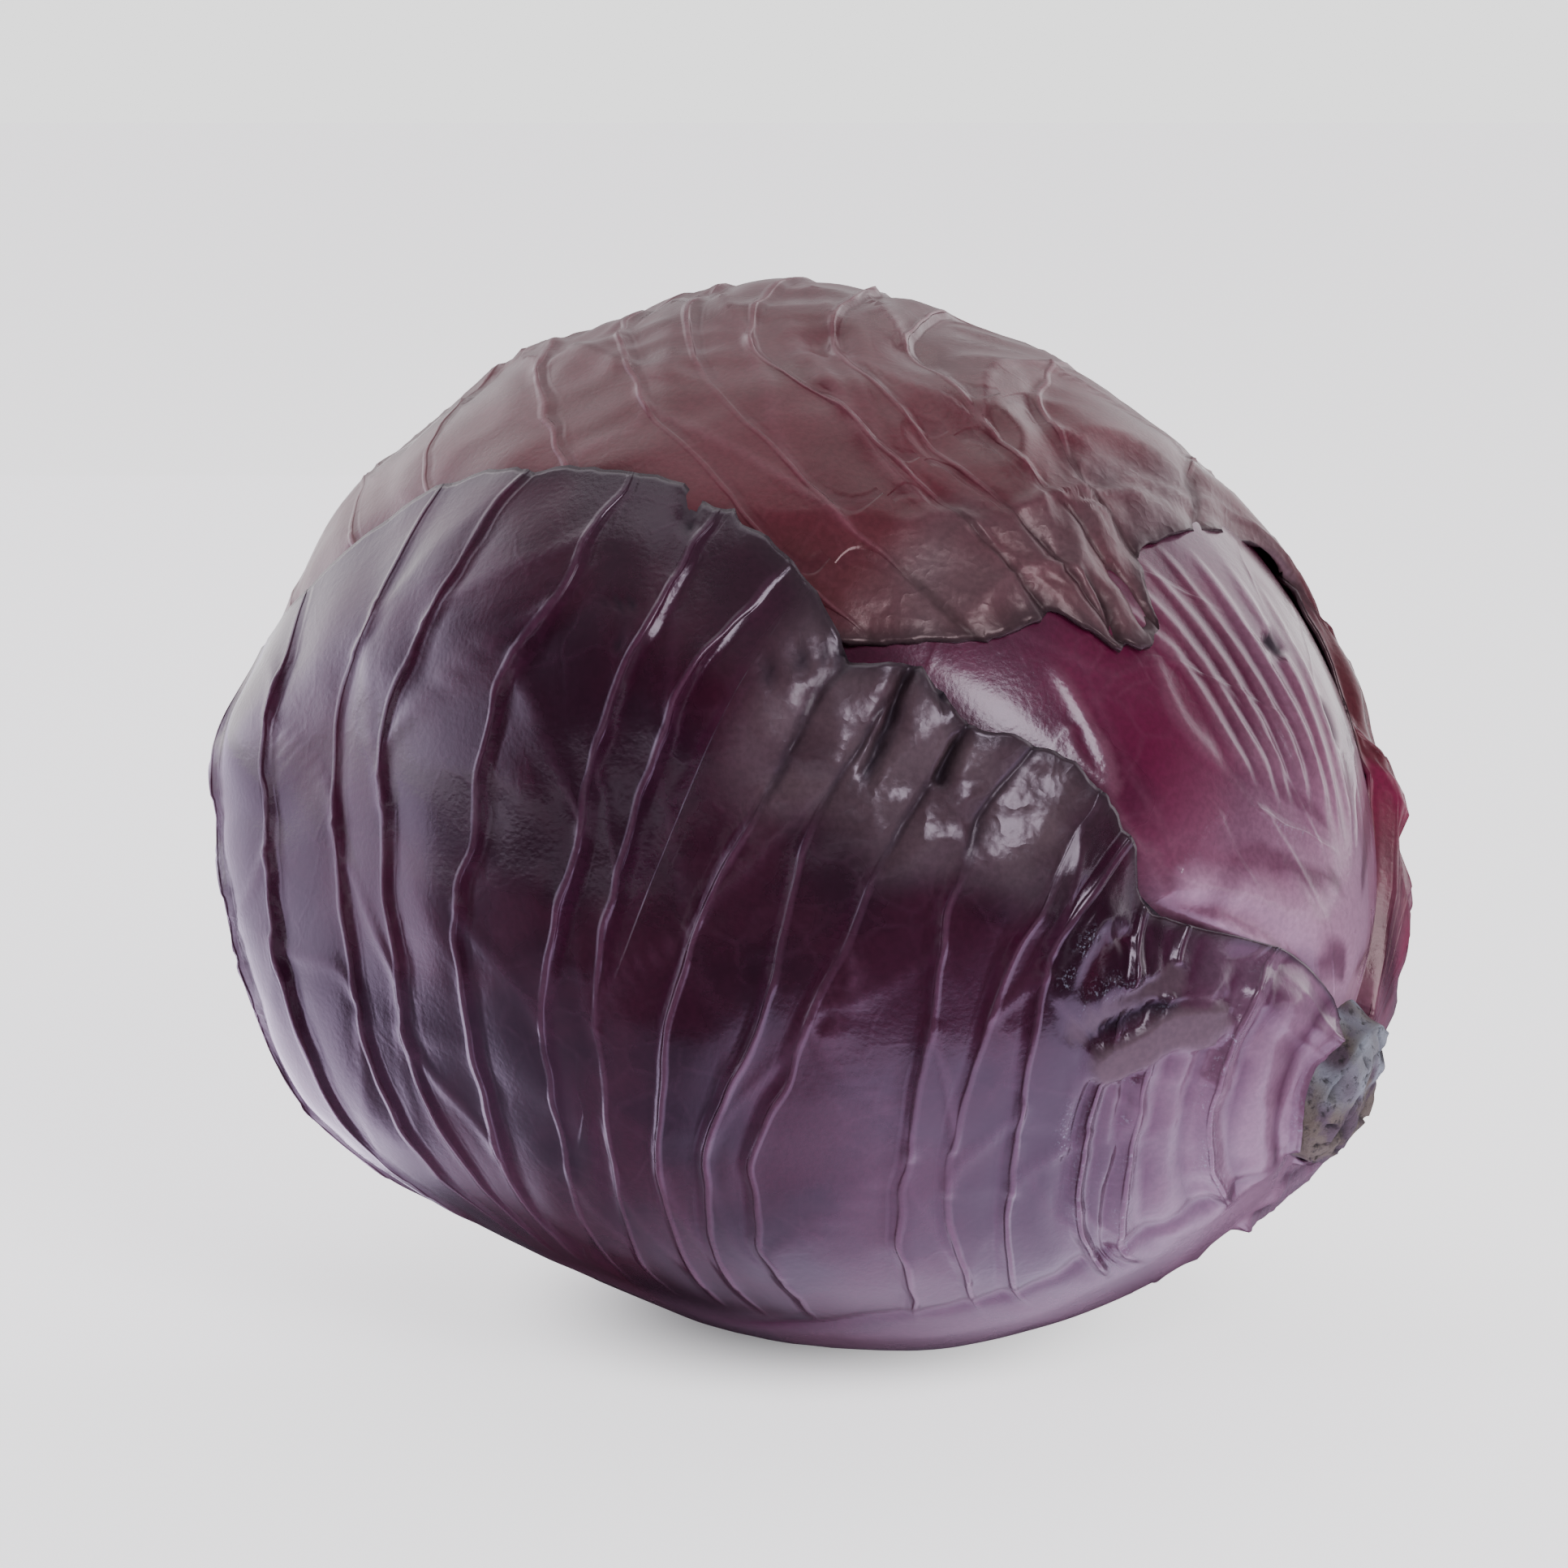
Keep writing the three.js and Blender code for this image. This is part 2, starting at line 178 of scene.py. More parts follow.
def follow(points: Array, positions: Array, even_pace: bool) -> Array:
    """Catmull-Rom curve through points.

    Args:
        points: the points, shape (count, size).
        positions: places along the curve, counted in points.
        even_pace: True to space the knots by distance, which keeps uneven points from looping.

    Returns:
        The curve at each position.
    """
    first = 2.0 * points[:1] - points[1:2]
    last = 2.0 * points[-1:] - points[-2:-1]
    padded = np.concatenate([first, points, last])
    index = np.clip(np.floor(positions).astype(int), 0, len(points) - 2)
    part = (positions - index)[:, None]
    before, start, end, after = (padded[index + step] for step in range(4))
    if even_pace:
        gaps = [np.sqrt(np.linalg.norm(b - a, axis=1, keepdims=True)) + 1e-9
                for a, b in ((before, start), (start, end), (end, after))]
        leave = (start - before) / gaps[0] - (end - before) / (gaps[0] + gaps[1])
        leave = (leave + (end - start) / gaps[1]) * gaps[1]
        arrive = (end - start) / gaps[1] - (after - start) / (gaps[1] + gaps[2])
        arrive = (arrive + (after - end) / gaps[2]) * gaps[1]
    else:
        leave = (end - before) / 2.0
        arrive = (after - start) / 2.0
    square, cube = part ** 2, part ** 3
    return (start * (2 * cube - 3 * square + 1) + leave * (cube - 2 * square + part)
            + end * (3 * square - 2 * cube) + arrive * (cube - square))


def from_chord(directions: Array, start: Array, end: Array) -> tuple[Array, Array]:
    """How far along a chord each direction lies, from 0 to 1, and how far from the chord.

    Args:
        directions: the places, on a sphere of radius 1.
        start: one end of the chord.
        end: its other end.

    Returns:
        The share of the chord's length, and the distance.
    """
    chord = end - start
    away = directions - start
    part = np.clip(away @ chord / max(chord @ chord, 1e-12), 0.0, 1.0)
    return part, np.linalg.norm(away - part[..., None] * chord, axis=-1)


def resample(wanted: Array, known: Array, points: Array) -> Array:
    """Directions at wanted places, between points at known places along a line."""
    return unit(np.stack([np.interp(wanted, known, points[:, axis]) for axis in range(3)], 1))


@dataclass(frozen=True)
class Bulge:
    """A swelling of the head's round form."""

    yaw: float
    pitch: float
    height: float
    width: float


@dataclass(frozen=True)
class HeadForm:
    """The round form that everything lies on."""

    half_length: float = HEAD_HALF_LENGTH
    half_width: float = HEAD_HALF_WIDTH
    bulges: tuple[Bulge, ...] = (
        Bulge(-166.0, -25.0, 8.5, 20.0),
        Bulge(-173.0, 1.0, 5.0, 15.0),
        Bulge(90.0, 85.0, 1.5, 14.0),
        Bulge(-15.0, -27.0, 2.5, 18.0),
    )

    def radius(self, directions: Array) -> Array:
        """Distance from the middle to the surface of the inner head, in millimetres.

        Args:
            directions: unit directions from the middle.

        Returns:
            One distance for each direction.
        """
        along = directions @ STEM
        across = 1.0 - along ** 2
        radius = 1.0 / np.sqrt((along / self.half_length) ** 2 + across / self.half_width ** 2)
        for swelling in self.bulges:
            near = directions @ heading(swelling.yaw, swelling.pitch) - 1.0
            width = 1.0 - math.cos(math.radians(swelling.width))
            radius = radius + swelling.height * np.exp(near / width)
        return radius

    def surface_distance(self, directions: Array) -> Array:
        """Distance from the middle to the surface that the head lies on."""
        falling = np.minimum(directions[..., 2], -0.1)
        return np.where(directions[..., 2] < -0.1, HEAD_CENTRE[2] / -falling, np.inf)


@dataclass(frozen=True)
class LeafPlan:
    """How one wrapper leaf is spread over the head.

    ribs run from the midrib to the margin, from the stump to the tip. The half that the ribs
    describe is the near half, and the far half mirrors it with its margin far_width degrees out.
    """

    name: str
    midrib: float
    far_width: float
    centre: Place
    ribs: Sequence[Rib]
    columns: int  # fine columns between two ribs
    near_rows: int
    far_rows: int
    seed: int


FRONT_LEAF = LeafPlan(
    name="leaf_front", midrib=-28, far_width=100, centre=(-28, 85),
    columns=12, near_rows=141, far_rows=60, seed=11,
    ribs=(
        ((-28, BASE), (-75, BASE), (-118, BASE), (-150, 9.5), (-168, 10)),
        ((-28, 16), (-75, 18), (-98, 20), (-122, 21), (-144, 20)),
        ((-28, 23), (-52, 27), (-81, 27), (-105, 30), (-129, 31)),
        ((-28, 28), (-64, 31), (-97, 33), (-118, 35), (-127, 36)),
        ((-28, 34), (-46, 37), (-66, 38), (-83, 39), (-111, 43), (-134, 41)),
        ((-28, 41), (-69, 44), (-104, 46), (-136, 47)),
        ((-28, 47), (-45, 47), (-70, 48), (-96, 51), (-119, 56), (-135, 55)),
        ((-28, 54), (-50, 60), (-69, 64), (-93, 62), (-110, 62), (-132, 62)),
        ((-28, 60), (-50, 66), (-70, 69), (-92, 67), (-112, 70), (-134, 69)),
        ((-28, 65), (-50, 70), (-67, 74), (-86, 76), (-112, 76), (-131, 75)),
        ((-28, 70), (-50, 76), (-75, 82), (-94, 87), (-119, 88), (-137, 86)),
        ((-28, 75), (-50, 82), (-70, 88), (-99, 93), (-121, 95), (-140, 95)),
        ((-28, 79), (-48, 89), (-68, 98), (-96, 106), (-124, 107), (-140, 108)),
        ((-28, 83), (-47, 94), (-63, 105), (-80, 114), (-94, 120), (-120, 121), (-137, 119)),
        ((-28, 87), (-46, 99), (-60, 110), (-76, 121), (-95, 129), (-115, 131), (-133, 132)),
        ((-28, 92), (-42, 105), (-54, 117), (-66, 128), (-78, 136), (-95, 141), (-110, 148)),
        ((-28, 99), (-37, 114), (-46, 127), (-57, 138), (-72, 147), (-92, 155)),
        ((-28, 111), (-35, 129), (-43, 144), (-54, 154), (-70, 161)),
        ((-28, 130), (-34, 145), (-44, 157), (-56, 165)),
        ((-28, 164), (-31, 168), (-36, 171)),
    ),
)
TOP_LEAF = LeafPlan(
    name="leaf_top", midrib=120, far_width=60, centre=(160, 95),
    columns=14, near_rows=151, far_rows=46, seed=23,
    ribs=(
        ((120, BASE), (132, BASE), (143, 10), (153, 14)),
        ((120, 20), (132, 27), (142, 33), (150, 38)),
        ((120, 31), (134, 41), (146, 48), (156, 55)),
        ((120, 42), (138, 58), (156, 67), (170, 66), (179, 58)),
        ((120, 55), (140, 74), (160, 84), (178, 83), (190, 70), (192, 57)),
        ((120, 66), (142, 88), (164, 99), (184, 95), (194, 80), (198, 64), (200, 50)),
        ((120, 75), (144, 97), (168, 107), (190, 102), (200, 86), (204, 68), (207, 51)),
        ((120, 83), (146, 106), (172, 116), (196, 109), (204, 92), (208, 76), (211, 60)),
        ((120, 91), (148, 114), (176, 123), (202, 113), (213, 95), (218, 79), (220, 65)),
        ((120, 99), (152, 122), (182, 130), (207, 118), (219, 100), (225, 84), (227, 72)),
        ((120, 108), (158, 131), (190, 136), (216, 124), (230, 108), (236, 92)),
        ((120, 122), (162, 145), (204, 144), (232, 131), (246, 112)),
        ((120, 140), (170, 160), (226, 152), (250, 134)),
        ((120, 162), (190, 172), (250, 160), (266, 147)),
        ((120, 186), (282, 168), (280, 157)),
    ),
)
SIDE_LEAF = LeafPlan(
    name="leaf_side", midrib=180, far_width=50, centre=(180, 70),
    columns=22, near_rows=121, far_rows=60, seed=37,
    ribs=(
        ((180, BASE), (195, BASE), (212, BASE), (232, 10)),
        ((180, 21), (195, 28), (212, 34), (238, 34)),
        ((180, 32), (193, 42), (206, 51), (236, 52)),
        ((180, 44), (192, 56), (206, 66), (236, 70)),
        ((180, 58), (192, 72), (208, 82), (234, 88)),
        ((180, 74), (193, 88), (208, 98), (230, 104)),
        ((180, 92), (193, 106), (207, 115), (224, 119)),
        ((180, 112), (188, 122), (200, 129), (212, 132)),
    ),
)
UNDER_LEAF = LeafPlan(
    name="leaf_under", midrib=62, far_width=100, centre=(62, 85),
    columns=13, near_rows=80, far_rows=70, seed=53,
    ribs=(
        ((62, BASE), (25, BASE), (-15, BASE), (-40, 10)),
        ((62, 24), (30, 28), (-8, 31), (-42, 32)),
        ((62, 37), (32, 43), (-6, 48), (-44, 50)),
        ((62, 51), (34, 58), (-2, 66), (-44, 69)),
        ((62, 66), (36, 75), (2, 84), (-42, 88)),
        ((62, 81), (38, 92), (6, 102), (-40, 107)),
        ((62, 96), (38, 109), (0, 119), (-43, 123)),
        ((62, 113), (42, 126), (4, 138), (-45, 138)),
        ((62, 132), (46, 146), (6, 156), (-66, 147)),
        ((62, 151), (40, 161), (-20, 165), (-84, 153)),
        ((62, 172), (0, 173), (-72, 166), (-104, 154)),
        ((62, 192), (-118, 167), (-122, 154)),
    ),
)
LEAF_PLANS = (UNDER_LEAF, SIDE_LEAF, TOP_LEAF, FRONT_LEAF)  # from the inside out


@dataclass
class Sheet:
    """A leaf spread into columns from the stump to the tip and rows from margin to margin.

    Attributes:
        plan: what the leaf is spread from.
        columns: each column's place, counted in ribs.
        shares: each row's place from the far margin at -1 to the near margin at 1.
        directions: unit directions, shape (columns, rows, 3).
    """

    plan: LeafPlan
    columns: Array
    shares: Array
    directions: Array

    @classmethod
    def spread(cls, plan: LeafPlan, columns: Array, shares: Array) -> "Sheet":
        """Spread a leaf over given columns and rows.

        Args:
            plan: the leaf.
            columns: places counted in ribs.
            shares: places from the far to the near margin.

        Returns:
            The sheet, with no height yet.
        """
        halves = {True: [], False: []}
        for rib in plan.ribs:
            turn, reach = np.array(rib, dtype=float).T
            scale = plan.far_width / np.abs(turn - plan.midrib).max()
            mirrored = plan.midrib + (plan.midrib - turn) * scale
            halves[True].append(cls.along_rib(place(turn, reach), shares[shares >= 0]))
            halves[False].append(cls.along_rib(place(mirrored, reach), -shares[shares < 0]))
        parts = []
        for near in (False, True):
            ribs = np.array(halves[near])
            flat = ribs.reshape(len(ribs), -1)
            parts.append(follow(flat, columns, False).reshape(len(columns), -1, 3))
        return cls(plan, columns, shares, unit(np.concatenate(parts, axis=1)))

    @staticmethod
    def along_rib(points: Array, shares: Array) -> Array:
        """Places at even shares of a rib's length.

        Args:
            points: directions that the rib runs through.
            shares: shares of its length, from 0 to 1.

        Returns:
            One direction for each share.
        """
        steps = 40 * (len(points) - 1)
        dense = follow(points, np.linspace(0, len(points) - 1, steps + 1), True)
        length = np.concatenate([[0.0], np.cumsum(np.linalg.norm(np.diff(dense, axis=0), axis=1))])
        return resample(shares * length[-1], length, dense)

    def pull_in(self, amount: Array) -> None:
        """Draw the margins in.

        Args:
            amount: share of the half leaf that is lost, for each column and each of two margins.
        """
        for index in range(len(self.columns)):
            lost = np.where(self.shares < 0, amount[index, 0], amount[index, 1])
            at = self.shares * (1.0 - lost * smooth((np.abs(self.shares) - 0.6) / 0.4))
            self.directions[index] = resample(at, self.shares, self.directions[index])

    def tuck_base(self) -> None:
        """Draw the leaf's base in to the stump."""
        along = self.directions @ STEM
        ring = unit(self.directions - along[..., None] * STEM)
        reach = np.arccos(np.clip(along, -1.0, 1.0))
        fade = 1.0 - smooth(self.columns / 0.6)
        reach = reach - (reach[:1] - math.radians(TUCKED_BASE)) * fade[:, None]
        self.directions = np.cos(reach)[..., None] * STEM + np.sin(reach)[..., None] * ring

    def outline(self) -> Array:
        """The sheet's edge as a loop of directions."""
        grid = self.directions
        return np.concatenate([
            grid[0], grid[1:-1, -1], grid[-1, ::-1], grid[-2:0:-1, 0]])


class LeafStack:
    """How the leaves hold each other up."""

    def __init__(self, form: HeadForm, plans: Sequence[LeafPlan]) -> None:
        """Trace each leaf's outline.

        Args:
            form: the head they lie on.
            plans: the leaves, from the inside out.
        """
        self.form = form
        self.outlines = []
        self.maps = []
        for plan in plans:
            columns = np.linspace(0, len(plan.ribs) - 1, 2 * len(plan.ribs) - 1)
            shares = np.concatenate([-np.linspace(1, 0.1, 12), np.linspace(0, 1, 15)])
            self.outlines.append(Sheet.spread(plan, columns, shares).outline())
            middle = place(*plan.centre)
            east = unit(np.cross(STEM, middle))
            self.maps.append(np.stack([east, np.cross(middle, east), middle]))

    def support(self, leaf: int, directions: Array) -> Array:
        """How fully a leaf holds up what lies over it, from 1 on it to 0 well clear of it.

        Args:
            leaf: the leaf's number in the stack.
            directions: unit directions, shape (count, 3).

        Returns:
            One value for each direction.
        """
        edge = self.outlines[leaf]
        flat = self.flatten(leaf, directions)
        loop = self.flatten(leaf, edge)
        inside = np.zeros(len(directions), dtype=bool)
        nearest = np.full(len(directions), np.inf)
        for index in range(len(edge)):
            after = (index + 1) % len(edge)
            ax, ay = loop[index]
            bx, by = loop[after]
            if ay != by:
                spans = (ay > flat[:, 1]) != (by > flat[:, 1])
                inside ^= spans & (flat[:, 0] < ax + (bx - ax) * (flat[:, 1] - ay) / (by - ay))
            _, distance = from_chord(directions, edge[index], edge[after])
            nearest = np.minimum(nearest, distance)
        held = 1.0 - smooth((nearest * HEAD_HALF_WIDTH - OVERLAP) / SLOPE)
        return np.where(inside, 1.0, held)

    def flatten(self, leaf: int, directions: Array) -> Array:
        """Map directions to the plane about a leaf's middle."""
        turned = directions @ self.maps[leaf].T
        return turned[:, :2] / (1.0001 + turned[:, 2:])

    def measure(self, directions: Array) -> tuple[Array, Array]:
        """Supports and heights of every leaf.

        Args:
            directions: unit directions, shape (count, 3).

        Returns:
            How fully each leaf holds up others, and the height of each leaf's underside above the
            inner head, both of shape (leaves, count).
        """
        supports = np.array([self.support(leaf, directions) for leaf in range(len(self.outlines))])
        heights = []
        for index in range(len(supports)):
            below = np.zeros(len(directions))
            for lower in range(index):
                below = np.maximum(below, (heights[lower] + BLADE + RIB_RISE) * supports[lower])
            heights.append(below + LAYER_GAP)
        return supports, np.array(heights)

    def pressed(self, directions: Array, heights: Array) -> Array:
        """How far all layers are pressed up where the head meets the surface."""
        outside = self.form.radius(directions) + heights[-1] + BLADE
        return np.maximum(0.0, outside - self.form.surface_distance(directions))


def srgb(code: str) -> tuple[float, float, float, float]:
    """Linear colour from an sRGB hex code such as '#5c2c4e'.

    Args:
        code: the hex code.

    Returns:
        Red, green, blue and an alpha of 1.
    """
    channels = [int(code[start:start + 2], 16) / 255.0 for start in (1, 3, 5)]
    linear = [c / 12.92 if c <= 0.04045 else ((c + 0.055) / 1.055) ** 2.4 for c in channels]
    return (*linear, 1.0)


class Nodes:
    """A node tree under construction."""

    def __init__(self, owner: Material | bpy.types.World) -> None:
        """Start an empty tree in a material or world."""
        owner.use_nodes = True
        self.owner = owner
        self.tree = owner.node_tree
        self.tree.nodes.clear()

    def add(self, kind: str, inputs: dict | None = None, **settings: object) -> bpy.types.Node:
        """Add a node.

        Args:
            kind: the node's type name, without the ShaderNode at its start.
            inputs: values or sockets to link, by the input's name or number.
            **settings: the node's own properties.

        Returns:
            The new node.
        """
        node = self.tree.nodes.new("ShaderNode" + kind)
        for key, value in settings.items():
            setattr(node, key, value)
        for key, value in (inputs or {}).items():
            socket = node.inputs[key]
            if isinstance(value, bpy.types.NodeSocket):
                self.tree.links.new(value, socket)
            else:
                socket.default_value = value
        return node

    def math(self, operation: str, *values: object) -> Socket:
        """Work on one number, or join several by an operation from the left.

        Args:
            operation: the Math node's operation.
            *values: numbers or sockets.

        Returns:
            The result.
        """
        joined, *others = values
        if not others:
            return self.add("Math", {0: joined}, operation=operation).outputs[0]
        for other in others:
            joined = self.add("Math", {0: joined, 1: other}, operation=operation).outputs[0]
        return joined

    def plus(self, *values: object) -> Socket:
        """Add numbers up."""
        return self.math("ADD", *values)

    def times(self, *values: object) -> Socket:
        """Multiply numbers."""
        return self.math("MULTIPLY", *values)

    def rest_of(self, value: object) -> Socket:
        """What a value lacks to 1."""
        return self.math("SUBTRACT", 1.0, value)

    def ease(self, value: object, start: object, end: object, low: float = 0.0,
             high: float = 1.0) -> Socket:
        """Ease from low to high as a value goes from start to end."""
        return self.add("MapRange", {
            "Value": value, "From Min": start, "From Max": end, "To Min": low, "To Max": high,
        }, interpolation_type="SMOOTHSTEP").outputs["Result"]

    def here(self) -> Socket:
        """Where each point of the object is."""
        return self.add("TexCoord").outputs["Object"]

    def length(self, vector: Socket, scale: tuple[float, float, float] = (1.0, 1.0, 1.0)) -> Socket:
        """Length of a vector, scaled along each axis first.

        Args:
            vector: what is measured.
            scale: factors along X, Y and Z.

        Returns:
            The length.
        """
        scaled = self.add("VectorMath", {0: vector, 1: scale}, operation="MULTIPLY")
        node = self.add("VectorMath", {0: scaled.outputs[0]}, operation="LENGTH")
        return node.outputs["Value"]

    def mark(self, name: str) -> Socket:
        """Read a mark that the mesh carries."""
        return self.add("Attribute", attribute_name=name).outputs["Fac"]

    def noise(self, where: Socket, size_mm: float, detail: float = 2.0, roughness: float = 0.5,
              output: str = "Fac") -> Socket:
        """Add noise with swells of a real size."""
        return self.add("TexNoise", {
            "Vector": where, "Scale": 1.0 / (size_mm * MM), "Detail": detail,
            "Roughness": roughness}).outputs[output]

    def blend(self, amount: Socket | str, base: Socket | str, over: str,
              strength: float = 1.0) -> Socket:
        """Lay one colour over another.

        Args:
            amount: how much of it shows, or the name of the mark that says so.
            base: the colour below, or its hex code.
            over: hex code of the colour that is laid over it.
            strength: what the amount is multiplied by.

        Returns:
            The mixed colour.
        """
        amount = self.mark(amount) if isinstance(amount, str) else amount
        base = srgb(base) if isinstance(base, str) else base
        scaled = self.add("Math", {0: amount, 1: strength}, operation="MULTIPLY", use_clamp=True)
        mix = self.add("Mix", {0: scaled.outputs[0], 6: base, 7: srgb(over)}, data_type="RGBA")
        return mix.outputs[2]

    def finish(self, shader: bpy.types.Node) -> Material:
        """Show a shader on the surface, and hand the finished material over."""
        self.add("OutputMaterial", {"Surface": shader.outputs[0]})
        return self.owner


@dataclass(frozen=True)
class WaxyLeaf:
    """Red cabbage leaf: a thick waxy cuticle over purple flesh.

    The wax gives satin reflections with a sharper sheen over them, and its dusty bloom greys the
    purple. Ribs and bases hold less pigment, so they are pale. Grooves beside the ribs and furrows
    are painted a darker red as shade, slits near black as shade; silvery specks are painted glints.
    """

    name: str = "waxy_outer_cabbage_leaf"
    flesh: str = "#1b0616"
    red_flesh: str = "#2f041b"
    # darker red painted as shade into the grooves on the ribs' steep sides and into the furrows
    groove_shade: str = "#3a0229"
    rib: str = "#5c364f"
    bloom: str = "#4a2a36"
    pale: str = "#997190"
    skin: str = "#54434a"
    dry: str = "#2f2229"
    # near black painted as shade into slits, tears, cracks and pleat creases
    painted_shade: str = "#0f070d"
    # silvery specks painted as glints along ribs and ridges
    painted_glint: str = "#a2a9bf"
    blush: str = "#7d0f42"
    wax: str = "#e2c6ee"
    roughness: float = 0.25
    sheen: float = 0.5
    sheen_roughness: float = 0.19
    mottle_mm: float = 22.0
    rib_line_mm: float = 0.75
    rib_relief_mm: float = 0.2
    groove_mm: float = 2.2
    groove_relief_mm: float = 0.18
    net_mm: float = 7.0
    net_relief_mm: float = 0.01
    grain_mm: float = 0.8
    crinkle_mm: float = 4.5

    def make(self) -> Material:
        """Build the material.

        Returns:
            The leaf's finish.
        """
        nodes = Nodes(bpy.data.materials.new(self.name))
        here = nodes.here()
        mottle = nodes.noise(here, self.mottle_mm, 3.0)
        fine = nodes.noise(here, self.grain_mm)
        ridge, groove_shade = self.ribs(nodes, here)
        net = self.net(nodes, here)
        colour = nodes.blend(nodes.ease(mottle, 0.4, 0.62), self.flesh, self.red_flesh)
        # the furrow, groove and slit marks below lay painted shade into valleys, grooves and slits
        for amount, code, strength in (
                ("red", self.red_flesh, 0.9), ("bloom", self.bloom, 0.85), (net, self.rib, 0.06),
                ("rib", self.rib, 0.55), ("pale", self.pale, 0.95), ("furrow_shade", self.groove_shade, 0.95),
                (groove_shade, self.groove_shade, 0.42), (ridge, self.rib, 0.6), ("skin", self.skin, 0.9),
                ("dry", self.dry, 0.9), ("blush", self.blush, 0.9), ("painted_shade", self.painted_shade, 0.95)):
            colour = nodes.blend(amount, colour, code, strength)
        # painted glints: silvery specks where the glint mark lies
        specks = nodes.ease(nodes.noise(here, 0.5, 3.0, 0.7), 0.52, 0.7)
        patches = nodes.ease(nodes.noise(here, 5.0), 0.42, 0.6)
        glint_specks = nodes.times(specks, patches, nodes.mark("painted_glint"))
        colour = nodes.blend(glint_specks, colour, self.painted_glint, 0.45)
        dust = nodes.ease(fine, 0.3, 0.7, 0.9, 1.1)
        toned = nodes.add("HueSaturation", {"Color": colour, "Value": dust})
        gloss = nodes.mark("gloss")
        dulled = nodes.times(nodes.mark("skin"), nodes.rest_of(gloss), 0.9)
        dulled = nodes.math("MAXIMUM", dulled, nodes.mark("painted_shade"))
        softer = nodes.times(gloss, 0.08)
        rough = nodes.ease(mottle, 0.3, 0.7, self.roughness - 0.05, self.roughness + 0.07)
        crinkle = nodes.math("SUBTRACT", nodes.noise(here, self.crinkle_mm), 0.5)
        crinkle = nodes.times(nodes.math("ABSOLUTE", crinkle), gloss, -0.4)
        relief = nodes.plus(
            nodes.times(ridge, self.rib_relief_mm), nodes.times(groove_shade, -self.groove_relief_mm),
            nodes.times(net, self.net_relief_mm), nodes.times(fine, 0.03), crinkle)
        normal = nodes.add("Bump", {"Height": relief, "Strength": 1.0, "Distance": MM}).outputs[0]
        return nodes.finish(nodes.add("BsdfPrincipled", {
            "Base Color": toned.outputs[0], "Normal": normal, "Coat Normal": normal,
            "Roughness": nodes.plus(rough, softer, nodes.times(dulled, 0.35)),
            "IOR": 1.45, "Specular IOR Level": 0.5, "Specular Tint": srgb(self.wax),
            "Coat Weight": nodes.times(nodes.rest_of(dulled), self.sheen),
            "Coat Roughness": nodes.plus(softer, self.sheen_roughness), "Coat IOR": 1.45}))

    def ribs(self, nodes: Nodes, here: Socket) -> tuple[Socket, Socket]:
        """Draw the side ribs' crests, and the grooves on their steep sides, sunk and painted darker
        as shade.

        Args:
            nodes: the material's tree.
            here: where each point is.

        Returns:
            How strongly a place lies on a crest and in a groove.
        """
        column = nodes.mark("column")
        offset = nodes.math("SUBTRACT", column, nodes.math("ROUND", column))
        away = nodes.times(offset, nodes.mark("gap"))
        ribbed = nodes.mark("ribbed")
        crest = nodes.ease(nodes.math("ABSOLUTE", away), 0.1, self.rib_line_mm, 1.0, 0.0)
        # the groove on each rib's steep side is sunk by the bump and painted darker as shade
        steep = nodes.times(away, nodes.mark("steep"))
        entry = nodes.ease(steep, 0.4 * self.rib_line_mm, 0.75 * self.rib_line_mm)
        leave = nodes.ease(steep, 0.6 * self.groove_mm, self.groove_mm, 1.0, 0.0)
        broken = nodes.ease(nodes.noise(here, 9.0), 0.3, 0.6, 0.35, 1.0)
        return nodes.times(crest, ribbed), nodes.times(entry, leave, broken, ribbed)

    def net(self, nodes: Nodes, here: Socket) -> Socket:
        """Draw the net of fine veins, faint in places.

        Args:
            nodes: the material's tree.
            here: where each point is.

        Returns:
            How strongly a place lies on a vein.
        """
        drift = nodes.noise(here, 12.0, output="Color")
        bend = nodes.add("VectorMath", {0: drift, "Scale": 6.0 * MM}, operation="SCALE")
        bent = nodes.add("VectorMath", {0: here, 1: bend.outputs[0]}, operation="ADD")
        cells = nodes.add("TexVoronoi", {
            "Vector": bent.outputs[0], "Scale": 1.0 / (self.net_mm * MM)},
            feature="DISTANCE_TO_EDGE")
        line = nodes.ease(cells.outputs["Distance"], 0.0, 0.6 / self.net_mm, 1.0, 0.0)
        return nodes.times(line, nodes.ease(nodes.noise(here, 15.0), 0.4, 0.6))


@dataclass(frozen=True)
class DryStump:
    """Cut cabbage stem: corky and brown at the cut, with greyed purple skin on its sides."""

    name: str = "dry_cut_stem"
    skin: str = "#4b3948"
    cork: str = "#5b4f49"
    # painted as shade into the cracks and between the fibres
    painted_shade: str = "#160e13"
    chalk: str = "#858a99"
    fibre_mm: float = 1.4
    roughness: float = 0.75

    def make(self) -> Material:
        """Build the material.

        Returns:
            The stump's finish.
        """
        nodes = Nodes(bpy.data.materials.new(self.name))
        here = nodes.here()
        patches = nodes.noise(here, 6.0, 4.0)
        fibres = nodes.noise(here, self.fibre_mm, 5.0, 0.7)
        colour = nodes.blend(nodes.ease(patches, 0.45, 0.55), self.cork, self.skin)
        colour = nodes.blend("chalk", colour, self.chalk, 0.9)
        # painted shade: darker in the hollows between fibres that the bump sinks, and in the cracks
        colour = nodes.blend(nodes.ease(fibres, 0.48, 0.32), colour, self.painted_shade, 0.85)
        colour = nodes.blend("painted_shade", colour, self.painted_shade, 0.95)
        relief = nodes.add("Bump", {"Height": fibres, "Strength": 0.8, "Distance": 0.9 * MM})
        return nodes.finish(nodes.add("BsdfPrincipled", {
            "Base Color": colour, "Roughness": self.roughness, "Normal": relief.outputs[0]}))


